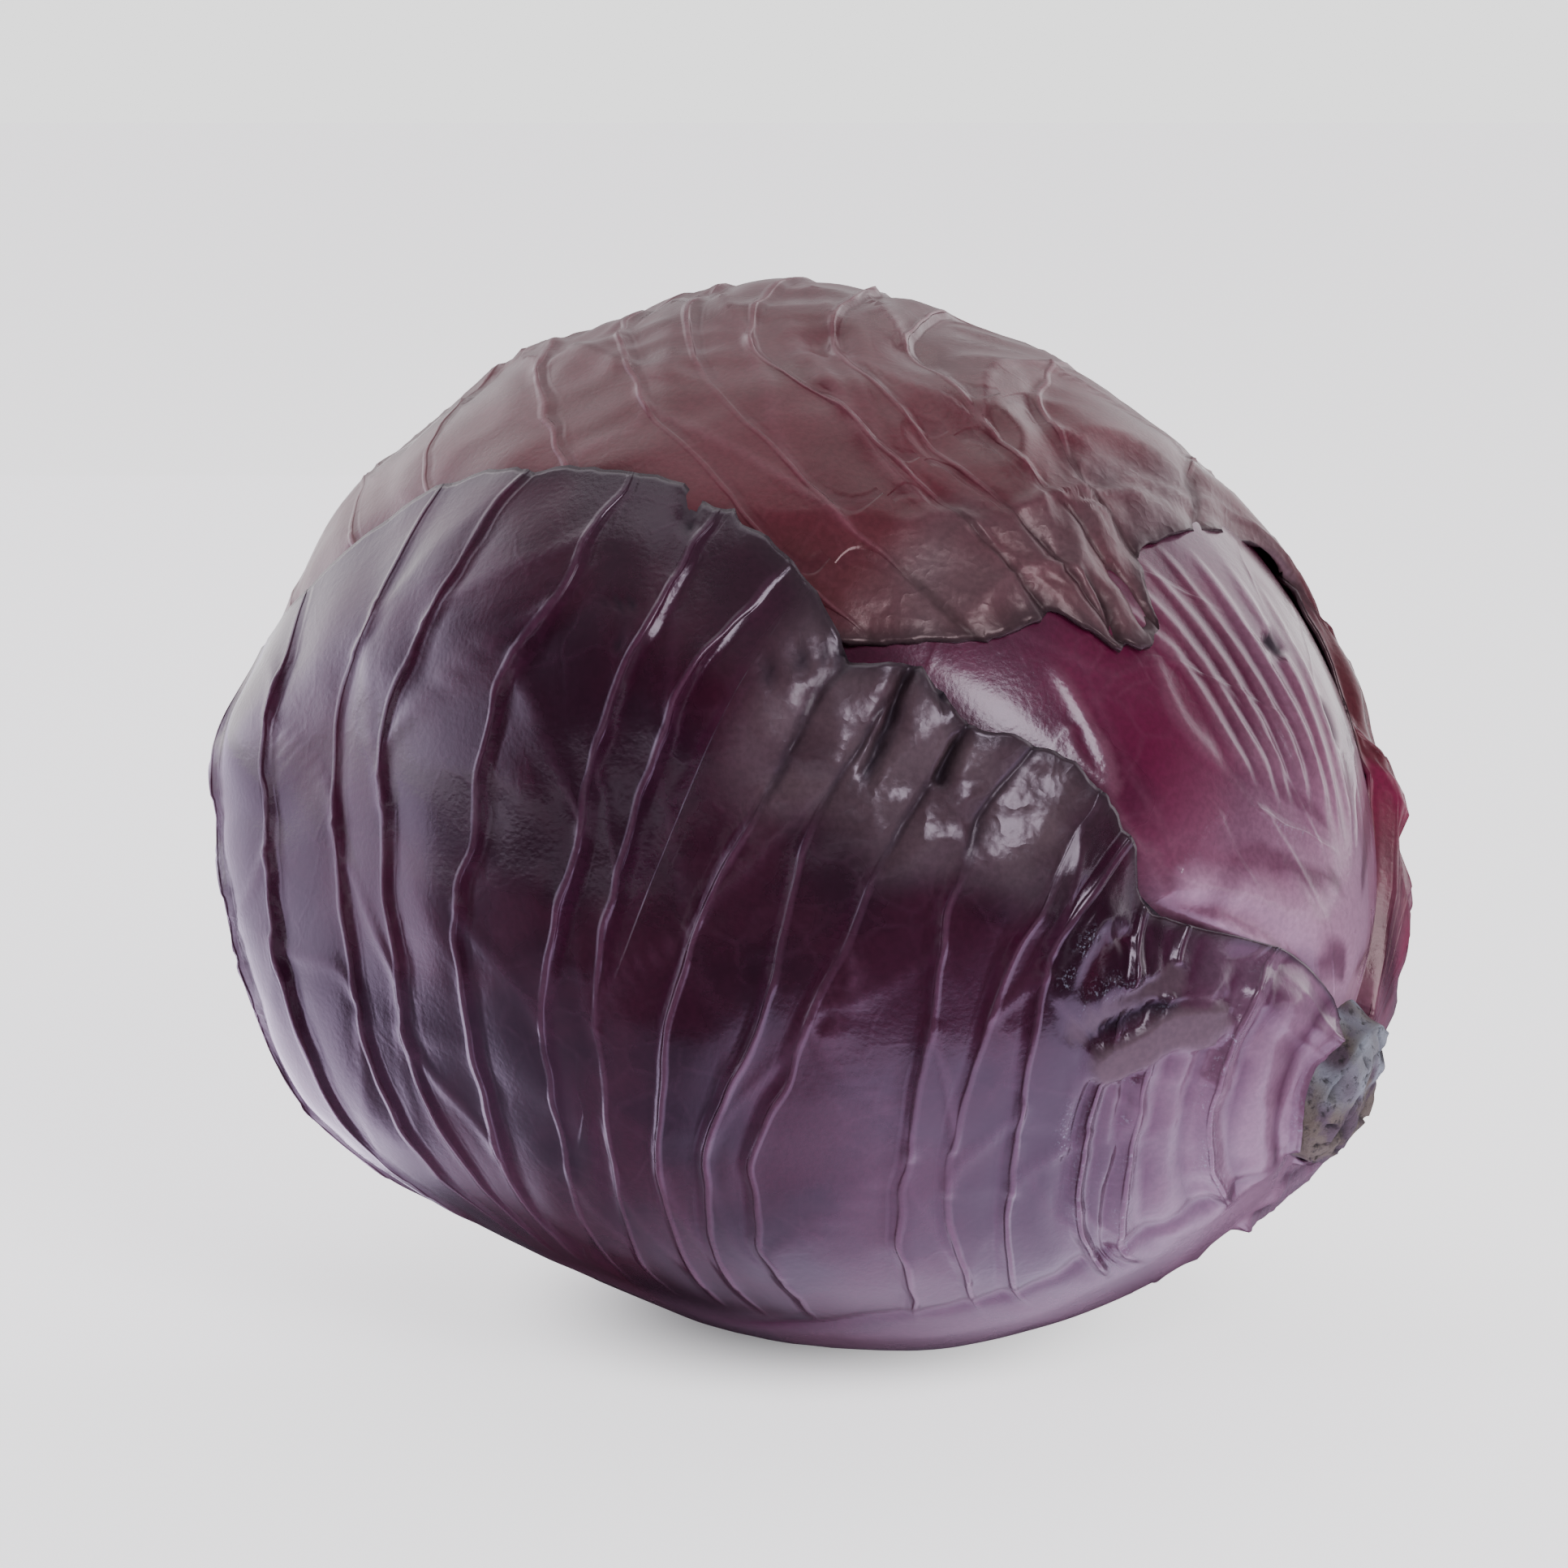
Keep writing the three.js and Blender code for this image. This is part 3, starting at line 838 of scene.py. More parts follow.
class Side(Enum):
    """Which half of a leaf is meant."""

    NEAR = 1
    FAR = -1


class Profile(Enum):
    """How a stroke is shaped across."""

    ROUND = "round"
    FLAT = "flat"


@dataclass
class LeafSurface:
    """What shapes and colours a leaf's fine sheet, as arrays over its columns and rows."""

    lift: Array
    press: Array | float = 0.0
    marks: dict[str, Array] = field(default_factory=dict)

    def mark(self, name: str, amount: Array) -> None:
        """Strengthen a mark where the amount is more than it has."""
        known = self.marks.get(name, np.zeros_like(self.lift))
        self.marks[name] = np.maximum(known, np.clip(amount, 0.0, 1.0))


@dataclass(frozen=True)
class Stroke:
    """A line drawn on a leaf: a vein, crease, slit, strip or scar.

    Attributes:
        path: places that it runs through.
        height: rise in millimetres, below 0 for a groove.
        width: half its width in millimetres.
        mark: what it marks, or nothing.
        strength: how strongly.
        profile: its shape across.
    """

    path: Sequence[Place]
    height: float
    width: float
    mark: str = ""
    strength: float = 0.0
    profile: Profile = Profile.ROUND

    def amount(self, directions: Array) -> Array:
        """How fully each place lies on the stroke.

        Args:
            directions: unit directions of the leaf's places.

        Returns:
            Values from 0 to 1.
        """
        turns, reaches = np.array(self.path, dtype=float).T
        points = place(turns, reaches)
        dense = follow(points, np.linspace(0, len(points) - 1, 8 * len(points) - 7), True)
        nearest = np.full(directions.shape[:-1], np.inf)
        spot = np.zeros_like(nearest)
        for index, start in enumerate(dense[:-1]):
            part, distance = from_chord(directions, start, dense[index + 1])
            distance = distance * HEAD_HALF_LENGTH
            closer = distance < nearest
            nearest = np.where(closer, distance, nearest)
            spot = np.where(closer, (index + part) / (len(dense) - 1), spot)
        ragged = wander(directions * HEAD_HALF_LENGTH, 2.0 + self.width, 61)
        nearest = np.maximum(nearest + 0.4 * self.width * ragged, 0.0)
        if self.profile is Profile.FLAT:
            return 1.0 - smooth((nearest - 0.75 * self.width) / (0.4 * self.width))
        taper = smooth(np.minimum(spot, 1.0 - spot) / 0.2 + 0.1)
        return np.exp(-(nearest / (self.width * (0.5 + 0.5 * taper))) ** 2) * taper

    def draw(self, leaf: "WrapperLeaf", surface: LeafSurface) -> None:
        """Shape and mark a leaf along the stroke.

        Args:
            leaf: the leaf that carries it.
            surface: what is shaped.
        """
        amount = self.amount(leaf.sheet.directions)
        if self.profile is Profile.FLAT:
            for covered in (surface.lift, *(surface.marks[name] for name in HIDDEN_BY_FLAPS)):
                covered *= 1.0 - amount
        surface.lift += self.height * amount
        if self.mark:
            surface.mark(self.mark, self.strength * amount)


def alike(height: float, width: float, mark: str, strength: float,
          *paths: Sequence[Place]) -> tuple[Stroke, ...]:
    """Strokes that differ only in their paths."""
    return tuple(Stroke(path, height, width, mark, strength) for path in paths)


@dataclass(frozen=True)
class Gather:
    """A stretch of margin drawn together into crumpled, shiny pleats between the ribs."""

    first_share: float
    low_reach: float
    high_reach: float
    height: float

    def amount(self, leaf: "WrapperLeaf") -> Array:
        """How fully each place of a leaf is gathered.

        Args:
            leaf: the leaf.

        Returns:
            Values from 0 to 1.
        """
        zone = smooth((leaf.share - self.first_share) / 0.1)
        zone = zone * smooth((leaf.reach - self.low_reach) / 7.0)
        return zone * (1.0 - smooth((leaf.reach - self.high_reach) / 7.0))

    def draw(self, leaf: "WrapperLeaf", surface: LeafSurface) -> None:
        """Pleat and crumple a leaf's margin.

        Args:
            leaf: the leaf.
            surface: what is shaped.
        """
        zone = self.amount(leaf)
        part = leaf.column - np.floor(leaf.column)
        pleat = np.sqrt(np.clip(4.0 * part * (1.0 - part), 0.0, 1.0)) - 0.55
        folds = 1.0 - 2.6 * np.abs(leaf.noise(5.5, 20))
        creases = 1.0 - 2.6 * np.abs(leaf.noise(2.7, 21))
        surface.lift += self.height * zone * (pleat + 0.24 * folds + 0.1 * creases)
        surface.mark("gloss", zone)
        surface.mark("skin", zone * (0.7 + 0.35 * leaf.noise(5.0, 22)))
        # painted shade in the creases at the ribs between the pleats
        surface.mark("painted_shade", 0.5 * zone * smooth((0.1 - np.minimum(part, 1.0 - part)) / 0.07))


@dataclass(frozen=True)
class LeafLook:
    """What sets one leaf apart in relief and colour."""

    rib_height: float = 0.18
    rib_width: float = 0.95
    branch_height: float = 0.42
    panel_swell: float = 0.25
    tilt: float = 1.15
    rib_line: float = 1.0
    corrugation: float = 0.6
    waviness: float = 0.6
    facets: float = 0.35
    press: float = 1.7
    base_pale: float = 0.55
    base_reach: float = 24.0
    bloom: float = 0.2
    gathers: tuple[Gather, ...] = ()
    strokes: tuple[Stroke, ...] = ()


@dataclass
class WrapperLeaf:
    """One wrapper leaf, from its plan to its finished object."""

    plan: LeafPlan
    look: LeafLook
    index: int
    stack: LeafStack
    material: Material

    def build(self) -> Piece:
        """Shape the leaf, dress it and set it in place of its node.

        Returns:
            The finished object.
        """
        self.spread()
        surface = LeafSurface(np.zeros(self.sheet.directions.shape[:2]))
        self.raise_ribs(surface)
        self.raise_branches(surface)
        self.wave(surface)
        for gather in self.look.gathers:
            gather.draw(self, surface)
        self.ease_margins(surface)
        for stroke in self.look.strokes:
            stroke.draw(self, surface)
        self.colour_base(surface)
        return self.make_object(surface)

    def spread(self) -> None:
        """Spread the sheet, tear its margin and measure its place in the stack."""
        plan = self.plan
        steps = np.linspace(0, len(plan.ribs) - 1, (len(plan.ribs) - 1) * plan.columns + 1)
        columns = steps - CROWDING * np.sin(2 * np.pi * steps) / (2 * np.pi)
        shares = np.concatenate([
            -np.linspace(1, 0, plan.far_rows, endpoint=False), np.linspace(0, 1, plan.near_rows)])
        self.sheet = Sheet.spread(plan, columns, shares)
        self.sheet.pull_in(self.torn_margin(columns))
        self.sheet.tuck_base()
        directions = self.sheet.directions.reshape(-1, 3)
        supports, heights = self.stack.measure(directions)
        shape = self.sheet.directions.shape[:2]
        self.covered = supports[self.index + 1:].max(axis=0, initial=0.0).reshape(shape)
        push = self.stack.pressed(directions, heights)
        self.outside = (self.stack.form.radius(directions) + heights[self.index] + BLADE
                        - push).reshape(shape)
        self.limit = self.stack.form.surface_distance(directions).reshape(shape)
        self.rest = smooth(push / 1.5).reshape(shape)
        self.share = np.broadcast_to(shares[None, :], shape)
        self.reach = np.degrees(np.arccos(np.clip(self.sheet.directions @ STEM, -1, 1)))
        self.places = self.sheet.directions * self.outside[..., None]
        inner = smooth(np.minimum(columns, columns[-1] - columns) / 0.5)
        sway = self.noise(11.0, 31) + 0.4 * self.noise(4.5, 32)
        self.column = columns[:, None] + RIB_SWAY * sway * inner[:, None]
        per_column = np.linalg.norm(np.gradient(self.places, axis=0), axis=2)
        self.gap = per_column / np.gradient(columns)[:, None]
        self.across = np.linalg.norm(np.gradient(self.places, axis=1), axis=2)
        self.gathered = sum((gather.amount(self) for gather in self.look.gathers), 0.0 * self.share)

    def noise(self, size: float, step: int) -> Array:
        """Smooth noise over the leaf, in swells of a size in millimetres."""
        return wander(self.places, size, self.plan.seed + step)

    def torn_margin(self, columns: Array) -> Array:
        """How much of each margin is lost, for each column.

        Args:
            columns: places counted in ribs.

        Returns:
            Shares of the half leaf, shape (columns, 2).
        """
        lost = np.zeros((len(columns), 2))
        for side in range(2):
            spots = np.stack([columns, np.full_like(columns, 7.0 * side), 0 * columns], 1)
            seed = self.plan.seed + side
            lost[:, side] = WAVE_SHARE * (0.5 + 0.5 * wander(spots, 1.1, seed))
            lost[:, side] += TEAR_SHARE * np.abs(wander(spots, 0.43, seed + 5))
            lost[:, side] += TOOTH_SHARE * np.abs(wander(spots, 0.17, seed + 7))
        return lost

    def raise_ribs(self, surface: LeafSurface) -> None:
        """Raise the midrib and the side ribs, and slant and swell the panels between them.

        Args:
            surface: what is shaped.
        """
        look = self.look
        share = np.abs(self.share)
        away = (self.column - np.round(self.column)) * self.gap
        part = self.column - np.floor(self.column)
        rooted = smooth((share - 0.5 * MIDRIB_SHARE) / (0.6 * MIDRIB_SHARE))
        base = 1.0 - smooth((self.reach - STALK_REACH) / STALK_FADE)
        fade = (1.0 - 0.5 * share) * (1.0 + 0.8 * base)
        kept = rooted * (1.0 - self.gathered)
        width = look.rib_width * (1.1 - 0.45 * share)
        ridge = np.exp(-(away / width) ** 2)
        steep = 1.0 - 2.0 * smooth((self.reach - TURNOVER_REACH) / TURNOVER)
        slant = (part - 0.5) * steep
        down = away * np.sign(steep)
        slant += np.where(down > 0, np.abs(steep) * (1.0 - smooth(down / STEEP_SIDE)), 0.0)
        slant *= np.clip(self.gap / 9.0, 0.25, 1.3)
        strong = 0.75 + 0.5 * self.noise(16.0, 12)
        swell = 4.0 * part * (1.0 - part) * np.clip(self.gap / 12.0, 0.2, 1.2)
        surface.lift += kept * fade * look.rib_height * ridge * strong
        surface.lift += kept * (look.panel_swell * swell + look.tilt * slant * strong)
        surface.marks["column"] = self.column
        surface.marks["gap"] = self.gap
        surface.marks["steep"] = steep
        surface.marks["ribbed"] = kept * (1.0 - 0.35 * share) * np.clip(strong, 0.3, 1.0)
        surface.marks["ribbed"] *= look.rib_line
        # painted glints along the ribs near the base
        surface.mark("painted_glint", 0.9 * base * np.exp(-(away / 1.2) ** 2) * rooted)
        between = 0.5 - np.abs(part - 0.5)
        fold = np.cos(4.0 * np.pi * between)
        surface.lift += look.corrugation * base * rooted * fold
        # painted shade: the corrugation's valleys take the darker groove colour
        surface.mark("furrow_shade", 0.8 * base * rooted * smooth(-2.5 * fold - 1.2))
        along = self.column / self.column.max()
        stout = 1.0 - smooth((share * self.half_width() - 5.0) / (11.0 - 4.0 * along))
        surface.lift += MIDRIB_RISE * stout * (1.0 - along)
        surface.mark("pale", 0.3 * stout * (1.0 - along))

    def half_width(self) -> Array:
        """Length from the midrib to each margin, in millimetres, for each place.

        Returns:
            The length of the half that the place is on.
        """
        length = np.zeros_like(self.share)
        for side in Side:
            rows = self.sheet.shares * side.value >= 0
            length[:, rows] = self.across[:, rows].sum(axis=1, keepdims=True)
        return length

    def raise_branches(self, surface: LeafSurface) -> None:
        """Raise the thinner veins that cross each panel from one rib to the next.

        Args:
            surface: what is shaped.
        """
        draw = np.random.default_rng(self.plan.seed)
        for panel in range(len(self.plan.ribs) - 1):
            for side in Side:
                for start in np.arange(0.22, 0.95, 0.2):
                    begin = start + draw.uniform(-0.06, 0.06)
                    reach = draw.uniform(0.1, 0.24)
                    up = draw.random() < 0.6
                    strength = draw.uniform(0.15, 0.8)
                    self.raise_branch(surface, panel, side, begin, reach, up, strength)

    def raise_branch(self, surface: LeafSurface, panel: int, side: Side, begin: float,
                     reach: float, up: bool, strength: float) -> None:
        """Raise one cross vein.

        Args:
            surface: what is shaped.
            panel: the rib it starts at, or ends at if it runs down.
            side: the half of the leaf.
            begin: share along the rib where it leaves.
            reach: share over which it crosses the panel.
            up: True if it climbs from the lower rib to the upper one.
            strength: height, as a share of a rib's.
        """
        part = (self.share * side.value - begin) / reach
        crossed = smooth(part)
        goal = panel + (crossed if up else 1.0 - crossed)
        slope = np.clip(self.gap * 6 * part * (1 - part) / reach
                        / np.maximum(self.half_width(), 1.0), 0, 3)
        away = (self.column - goal) * self.gap / np.sqrt(1 + slope ** 2)
        on = (part > 0.0) & (part < 1.0) & (np.abs(self.column - panel - 0.5) < 0.7)
        ridge = np.where(on, np.exp(-(away / 0.8) ** 2), 0.0) * strength
        surface.lift += self.look.branch_height * ridge
        surface.mark("rib", 0.95 * self.look.branch_height * ridge)

    def wave(self, surface: LeafSurface) -> None:
        """Give the leaf its low dents and swells.

        Args:
            surface: what is shaped.
        """
        share = np.abs(self.share)
        swell = self.noise(21.0, 2)
        ripple = self.noise(7.5, 3)
        surface.lift += self.look.waviness * (swell + 0.3 * ripple * (0.4 + share))
        crease = 0.35 - np.abs(self.noise(15.0, 33))
        crease += 0.5 * (0.35 - np.abs(self.noise(8.0, 34)))
        surface.lift += self.look.facets * crease

    def ease_margins(self, surface: LeafSurface) -> None:
        """Press free margins down on what lies under them, with a lifted curl here and there.

        Args:
            surface: what is shaped.
        """
        share = np.abs(self.share)
        spots = np.stack([self.column, np.sign(self.share) * 3.0, 0.0 * share], -1)
        curl = np.maximum(0.0, wander(spots, 1.3, self.plan.seed + 9) - 0.25)
        surface.lift *= 1.0 - 0.75 * smooth((share - MARGIN_SHARE) / 0.16) * (1.0 - self.gathered)
        near_stump = 1.0 - smooth((self.reach - 36.0) / 14.0)
        surface.press = self.look.press * smooth((share - 0.8) / 0.2) * (1.0 + 0.6 * near_stump)
        surface.press = surface.press + 1.2 * (1.0 - smooth(self.column / 0.4))
        surface.lift += CURL_RISE * curl * smooth((share - 0.92) / 0.08)
        surface.mark("dry", smooth((share - 0.97) / 0.03))

    def colour_base(self, surface: LeafSurface) -> None:
        """Pale the flesh towards the stump and dust the wax bloom on.

        Args:
            surface: what is marked.
        """
        look = self.look
        base = 1.0 - smooth((self.reach - 12.0) / look.base_reach)
        surface.mark("pale", look.base_pale * base)
        cloud = 0.6 * self.noise(26.0, 4)
        cloud += 0.4 * self.noise(9.0, 6)
        high = smooth((self.sheet.directions[..., 2] + 0.1) / 0.8)
        surface.mark("bloom", look.bloom * (0.5 + 0.8 * cloud + 0.9 * high))

    def make_object(self, surface: LeafSurface) -> Piece:
        """Turn the shaped sheet into a leaf with its real thickness.

        Args:
            surface: lift and marks for each place.

        Returns:
            The object, riding on the body in place of its node.
        """
        columns, rows = surface.lift.shape
        lift = surface.lift * (1.0 - 0.65 * self.covered) * (1.0 - self.rest)
        radius = np.minimum(self.outside + lift - surface.press, self.limit)
        points = self.sheet.directions * radius[..., None] + HEAD_CENTRE
        shape = bmesh.new()
        bmesh.ops.create_grid(shape, x_segments=columns - 1, y_segments=rows - 1, size=1.0)
        move(shape, points.transpose(1, 0, 2).reshape(-1, 3) * MM)
        bmesh.ops.recalc_face_normals(shape, faces=shape.faces)
        shape.faces.ensure_lookup_table()
        middle = shape.faces[len(shape.faces) // 2]
        outward = middle.calc_center_median() - Vector(HEAD_CENTRE * MM)
        if middle.normal.dot(outward) < 0:
            bmesh.ops.reverse_faces(shape, faces=shape.faces)
        marks = {name: amount.T for name, amount in surface.marks.items()}
        mesh = make_mesh(shape, self.plan.name + "_leaf", marks)
        return finish(mesh, self.plan.name, self.material, SKIN)


FRONT_LOOK = LeafLook(
    gathers=(Gather(first_share=0.76, low_reach=43.0, high_reach=78.0, height=1.3),),
    strokes=(
        # slits and tears, sunk, with painted shade in them
        Stroke(((-133, 70), (-128, 69), (-122, 68), (-118, 68)), -2.2, 0.9, "painted_shade", 0.9),
        Stroke(((-137, 66), (-133, 66), (-130, 65)), -2.0, 1.4, "painted_shade", 1.0),
        Stroke(((-129, 62), (-122, 61)), -1.8, 0.9, "painted_shade", 0.9),
        Stroke(((-140, 101), (-137, 99), (-133, 98)), -1.4, 0.9, "painted_shade", 1.0),
        Stroke(((-122, 102), (-123, 99), (-124, 97)), -0.5, 0.6, "painted_shade", 0.8),
        Stroke(((-118, 96), (-121, 97), (-124, 97)), -0.5, 0.6, "painted_shade", 0.7),
        Stroke(((-122, 82), (-127, 79), (-132, 73)), -1.1, 1.0, "painted_shade", 0.8),
        # ridges carrying painted glints, beside a sunk red line
        Stroke(((-122, 37), (-119, 40), (-114, 41), (-108, 41), (-104, 40)), 0.7, 1.0, "painted_glint", 1.0),
        Stroke(((-120, 35), (-117, 38), (-113, 39), (-106, 38)), -0.7, 1.0, "red", 1.0),
        Stroke(((-99, 32), (-94, 34), (-85, 34), (-76, 33)), 0.8, 1.0, "painted_glint", 1.0),
        Stroke(((-98, 30), (-89, 28), (-69, 29)), 0.6, 0.9, "painted_glint", 0.9),
        # a sunk furrow, painted darker as shade
        Stroke(((-58, 7), (-51, 15), (-51, 24), (-45, 36), (-41, 51), (-36, 61), (-32, 78)),
               -0.5, 1.5, "furrow_shade", 0.8),
        Stroke(((-102, 37), (-109, 34), (-117, 30)), 0.0, 1.8, "skin", 0.5, Profile.FLAT),
        Stroke(((-98, 32), (-105, 29), (-113, 24.5)), 1.1, 3.2, "skin", 0.9, Profile.FLAT),
        # a slit with painted shade beside the flap, and a ridge with painted glints
        Stroke(((-100, 36), (-107, 33), (-115, 28)), -0.8, 0.9, "painted_shade", 0.9),
        Stroke(((-104, 39), (-111, 36), (-117, 33)), 0.4, 1.6, "painted_glint", 1.0),
        Stroke(((-102, 62), (-96, 59), (-88, 60)), 0.4, 0.9, "rib", 0.6),
    ),
)
TOP_LOOK = LeafLook(
    rib_height=0.35, branch_height=0.8, panel_swell=0.4, tilt=0.8, waviness=1.0, facets=1.5,
    press=2.0, bloom=0.28, base_pale=0.2,
    gathers=(Gather(first_share=0.8, low_reach=44.0, high_reach=74.0, height=1.1),),
    strokes=(
        Stroke(((152, 31), (143, 28), (138, 24), (133, 18), (128, 12)), 0.3, 2.2, "blush", 0.8),
        Stroke(((150, 33), (145, 30), (141, 27)), 1.5, 1.3, "blush", 1.0),
        *alike(0.9, 1.1, "rib", 0.6,
               ((-139, 68), (-150, 67), (-156, 63), (-155, 57)),
               ((-150, 67), (-146, 61), (-142, 61))),
        Stroke(((-145, 80), (-152, 76), (-150, 67)), 0.8, 1.1, "rib", 0.6),
        Stroke(((-154, 72), (-166, 69), (-177, 64)), 0.8, 1.2, "rib", 0.6),
        # slits, sunk, with painted shade in them
        Stroke(((-158, 53), (-161, 57), (-162, 61)), -1.6, 0.9, "painted_shade", 1.0),
        Stroke(((-153, 54), (-156, 58), (-157, 63)), -1.4, 0.8, "painted_shade", 0.9),
        Stroke(((-171, 57), (-177, 56), (174, 55), (171, 51)), 1.7, 1.6, "dry", 0.6),
        Stroke(((-157, 149), (-170, 142), (-156, 121), (-154, 106)), 0.7, 1.6),
        Stroke(((-174, 111), (-163, 100), (-153, 86), (-150, 75)), 0.8, 1.4, "rib", 0.4),
    ),
)
SIDE_LOOK = LeafLook(
    rib_height=0.1, rib_line=0.1, panel_swell=0.1, tilt=0.1, waviness=0.5, facets=0.1, bloom=0.1,
    base_pale=0.85, corrugation=0.1, base_reach=34.0,
    strokes=(
        Stroke(((-145, 59), (-142, 53), (-139, 48), (-134, 44)), 0.9, 1.2, "rib", 0.7),
        Stroke(((-157, 51), (-153, 44), (-154, 38)), 0.8, 1.3, "rib", 0.6),
        *alike(0.9, 1.1, "rib", 0.8,
               ((-158, 60), (-160, 49), (-159, 41), (-158, 34)),
               ((-163, 60), (-164, 50), (-163, 40), (-161, 31)),
               ((-168, 60), (-168, 50), (-167, 40), (-164, 30)),
               ((-173, 60), (-172, 50), (-171, 38), (-168, 28)),
               ((-178, 58), (-176, 48), (-175, 36), (-172, 26)),
               ((177, 56), (179, 46), (-179, 34), (-176, 24))),
        Stroke(((172, 52), (174, 44), (176, 32), (178, 22)), 0.8, 1.1, "rib", 0.8),
        Stroke(((-133, 39), (-140, 33), (-149, 27), (-154, 22)), -0.8, 2.4, "red", 1.0),
        Stroke(((-131, 36), (-139, 29), (-152, 21), (-164, 15)), 2.4, 4.0, "pale", 0.9),
        Stroke(((-129, 34), (-137, 27), (-146, 18), (-152, 12)), -1.0, 1.4, "red", 0.7),
        Stroke(((-128, 32), (-135, 25), (-142, 17), (-143, 12)), 0.9, 1.2, "pale", 0.9),
        *alike(0.9, 1.1, "pale", 0.9,
               ((-126, 30), (-131, 24), (-136, 17), (-134, 12)),
               ((-124, 28), (-128, 22), (-130, 16), (-124, 12))),
        # nicks, sunk, with painted shade in them
        Stroke(((180, 46), (179, 43)), -1.2, 1.8, "painted_shade", 1.0),
        Stroke(((172, 38), (172, 33)), -1.2, 2.0, "painted_shade", 1.0),
    ),
)
LOOKS = {
    "leaf_front": (FRONT_LOOK, WaxyLeaf()),
    "leaf_top": (TOP_LOOK, WaxyLeaf(
        name="waxy_ruddy_cabbage_leaf", flesh="#471922", red_flesh="#561325", groove_shade="#34061e",
        bloom="#643a42", rib="#7c4a58", wax="#ecbcc4", roughness=0.28, sheen=0.28)),
    "leaf_side": (SIDE_LOOK, WaxyLeaf(
        name="fresh_magenta_cabbage_leaf", flesh="#430726", red_flesh="#54042c", groove_shade="#400225",
        bloom="#643f57", rib="#80586a", pale="#a27b97", roughness=0.26, sheen=0.7)),
    "leaf_under": (LeafLook(), WaxyLeaf(name="waxy_under_cabbage_leaf", flesh="#2a1023")),
}


def move(shape: bmesh.types.BMesh, points: Array) -> None:
    """Move a shape's vertices to points."""
    for vertex, point in zip(shape.verts, points.tolist()):
        vertex.co = point


def make_mesh(shape: bmesh.types.BMesh, name: str,
              marks: dict[str, Array] | None = None) -> bpy.types.Mesh:
    """Turn a shape into a mesh with marks on its vertices, and let the shape go.

    Args:
        shape: the shape, which is freed.
        name: the mesh's name.
        marks: a value for each vertex, by the mark's name.

    Returns:
        The mesh.
    """
    mesh = bpy.data.meshes.new(name)
    shape.to_mesh(mesh)
    shape.free()
    for mark, amount in (marks or {}).items():
        values = mesh.attributes.new(mark, "FLOAT", "POINT")
        values.data.foreach_set("value", amount.reshape(-1).astype(np.float32))
    return mesh


def add_object(name: str, data: bpy.types.ID) -> Piece:
    """Put a mesh, lamp or camera in the scene.

    Args:
        name: the object's name.
        data: what it shows.

    Returns:
        The object.
    """
    thing = bpy.data.objects.new(name, data)
    bpy.context.scene.collection.objects.link(thing)
    return thing


def finish(mesh: bpy.types.Mesh, node: str, material: Material,
           thickness: float) -> Piece:
    """Put a mesh in the scene in place of a node.

    Args:
        mesh: the finished mesh, in place.
        node: the node that it replaces.
        material: its finish.
        thickness: wall in millimetres to give a sheet, or 0 for a solid.

    Returns:
        The object.
    """
    for polygon in mesh.polygons:
        polygon.use_smooth = True
    mesh.materials.append(material)
    piece = add_object("dressed_" + node, mesh)
    if thickness > 0:
        wall = piece.modifiers.new("blade", "SOLIDIFY")
        wall.thickness = thickness * MM
        wall.offset = -1.0
        wall.use_even_offset = False
    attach(piece, "root")
    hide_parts(node)
    log.info("%s: %d faces", piece.name, len(mesh.polygons))
    return piece


@dataclass
class InnerHead:
    """The dense head inside, of which only a line round the stump is ever seen."""

    stack: LeafStack
    material: Material
    detail: int = 6

    def build(self) -> Piece:
        """Model the inner head as one closed body.

        Returns:
            The finished object.
        """
        shape = bmesh.new()
        bmesh.ops.create_icosphere(shape, subdivisions=self.detail, radius=1.0)
        directions = unit(np.array([vertex.co[:] for vertex in shape.verts]))
        _, heights = self.stack.measure(directions)
        radius = self.stack.form.radius(directions) - self.stack.pressed(directions, heights)
        radius += 0.25 * wander(directions * 70.0, 9.0, 71) - 0.4
        move(shape, (directions * radius[:, None] + HEAD_CENTRE) * MM)
        mesh = make_mesh(shape, "inner_head_mesh")
        return finish(mesh, "inner_head", self.material, 0.0)


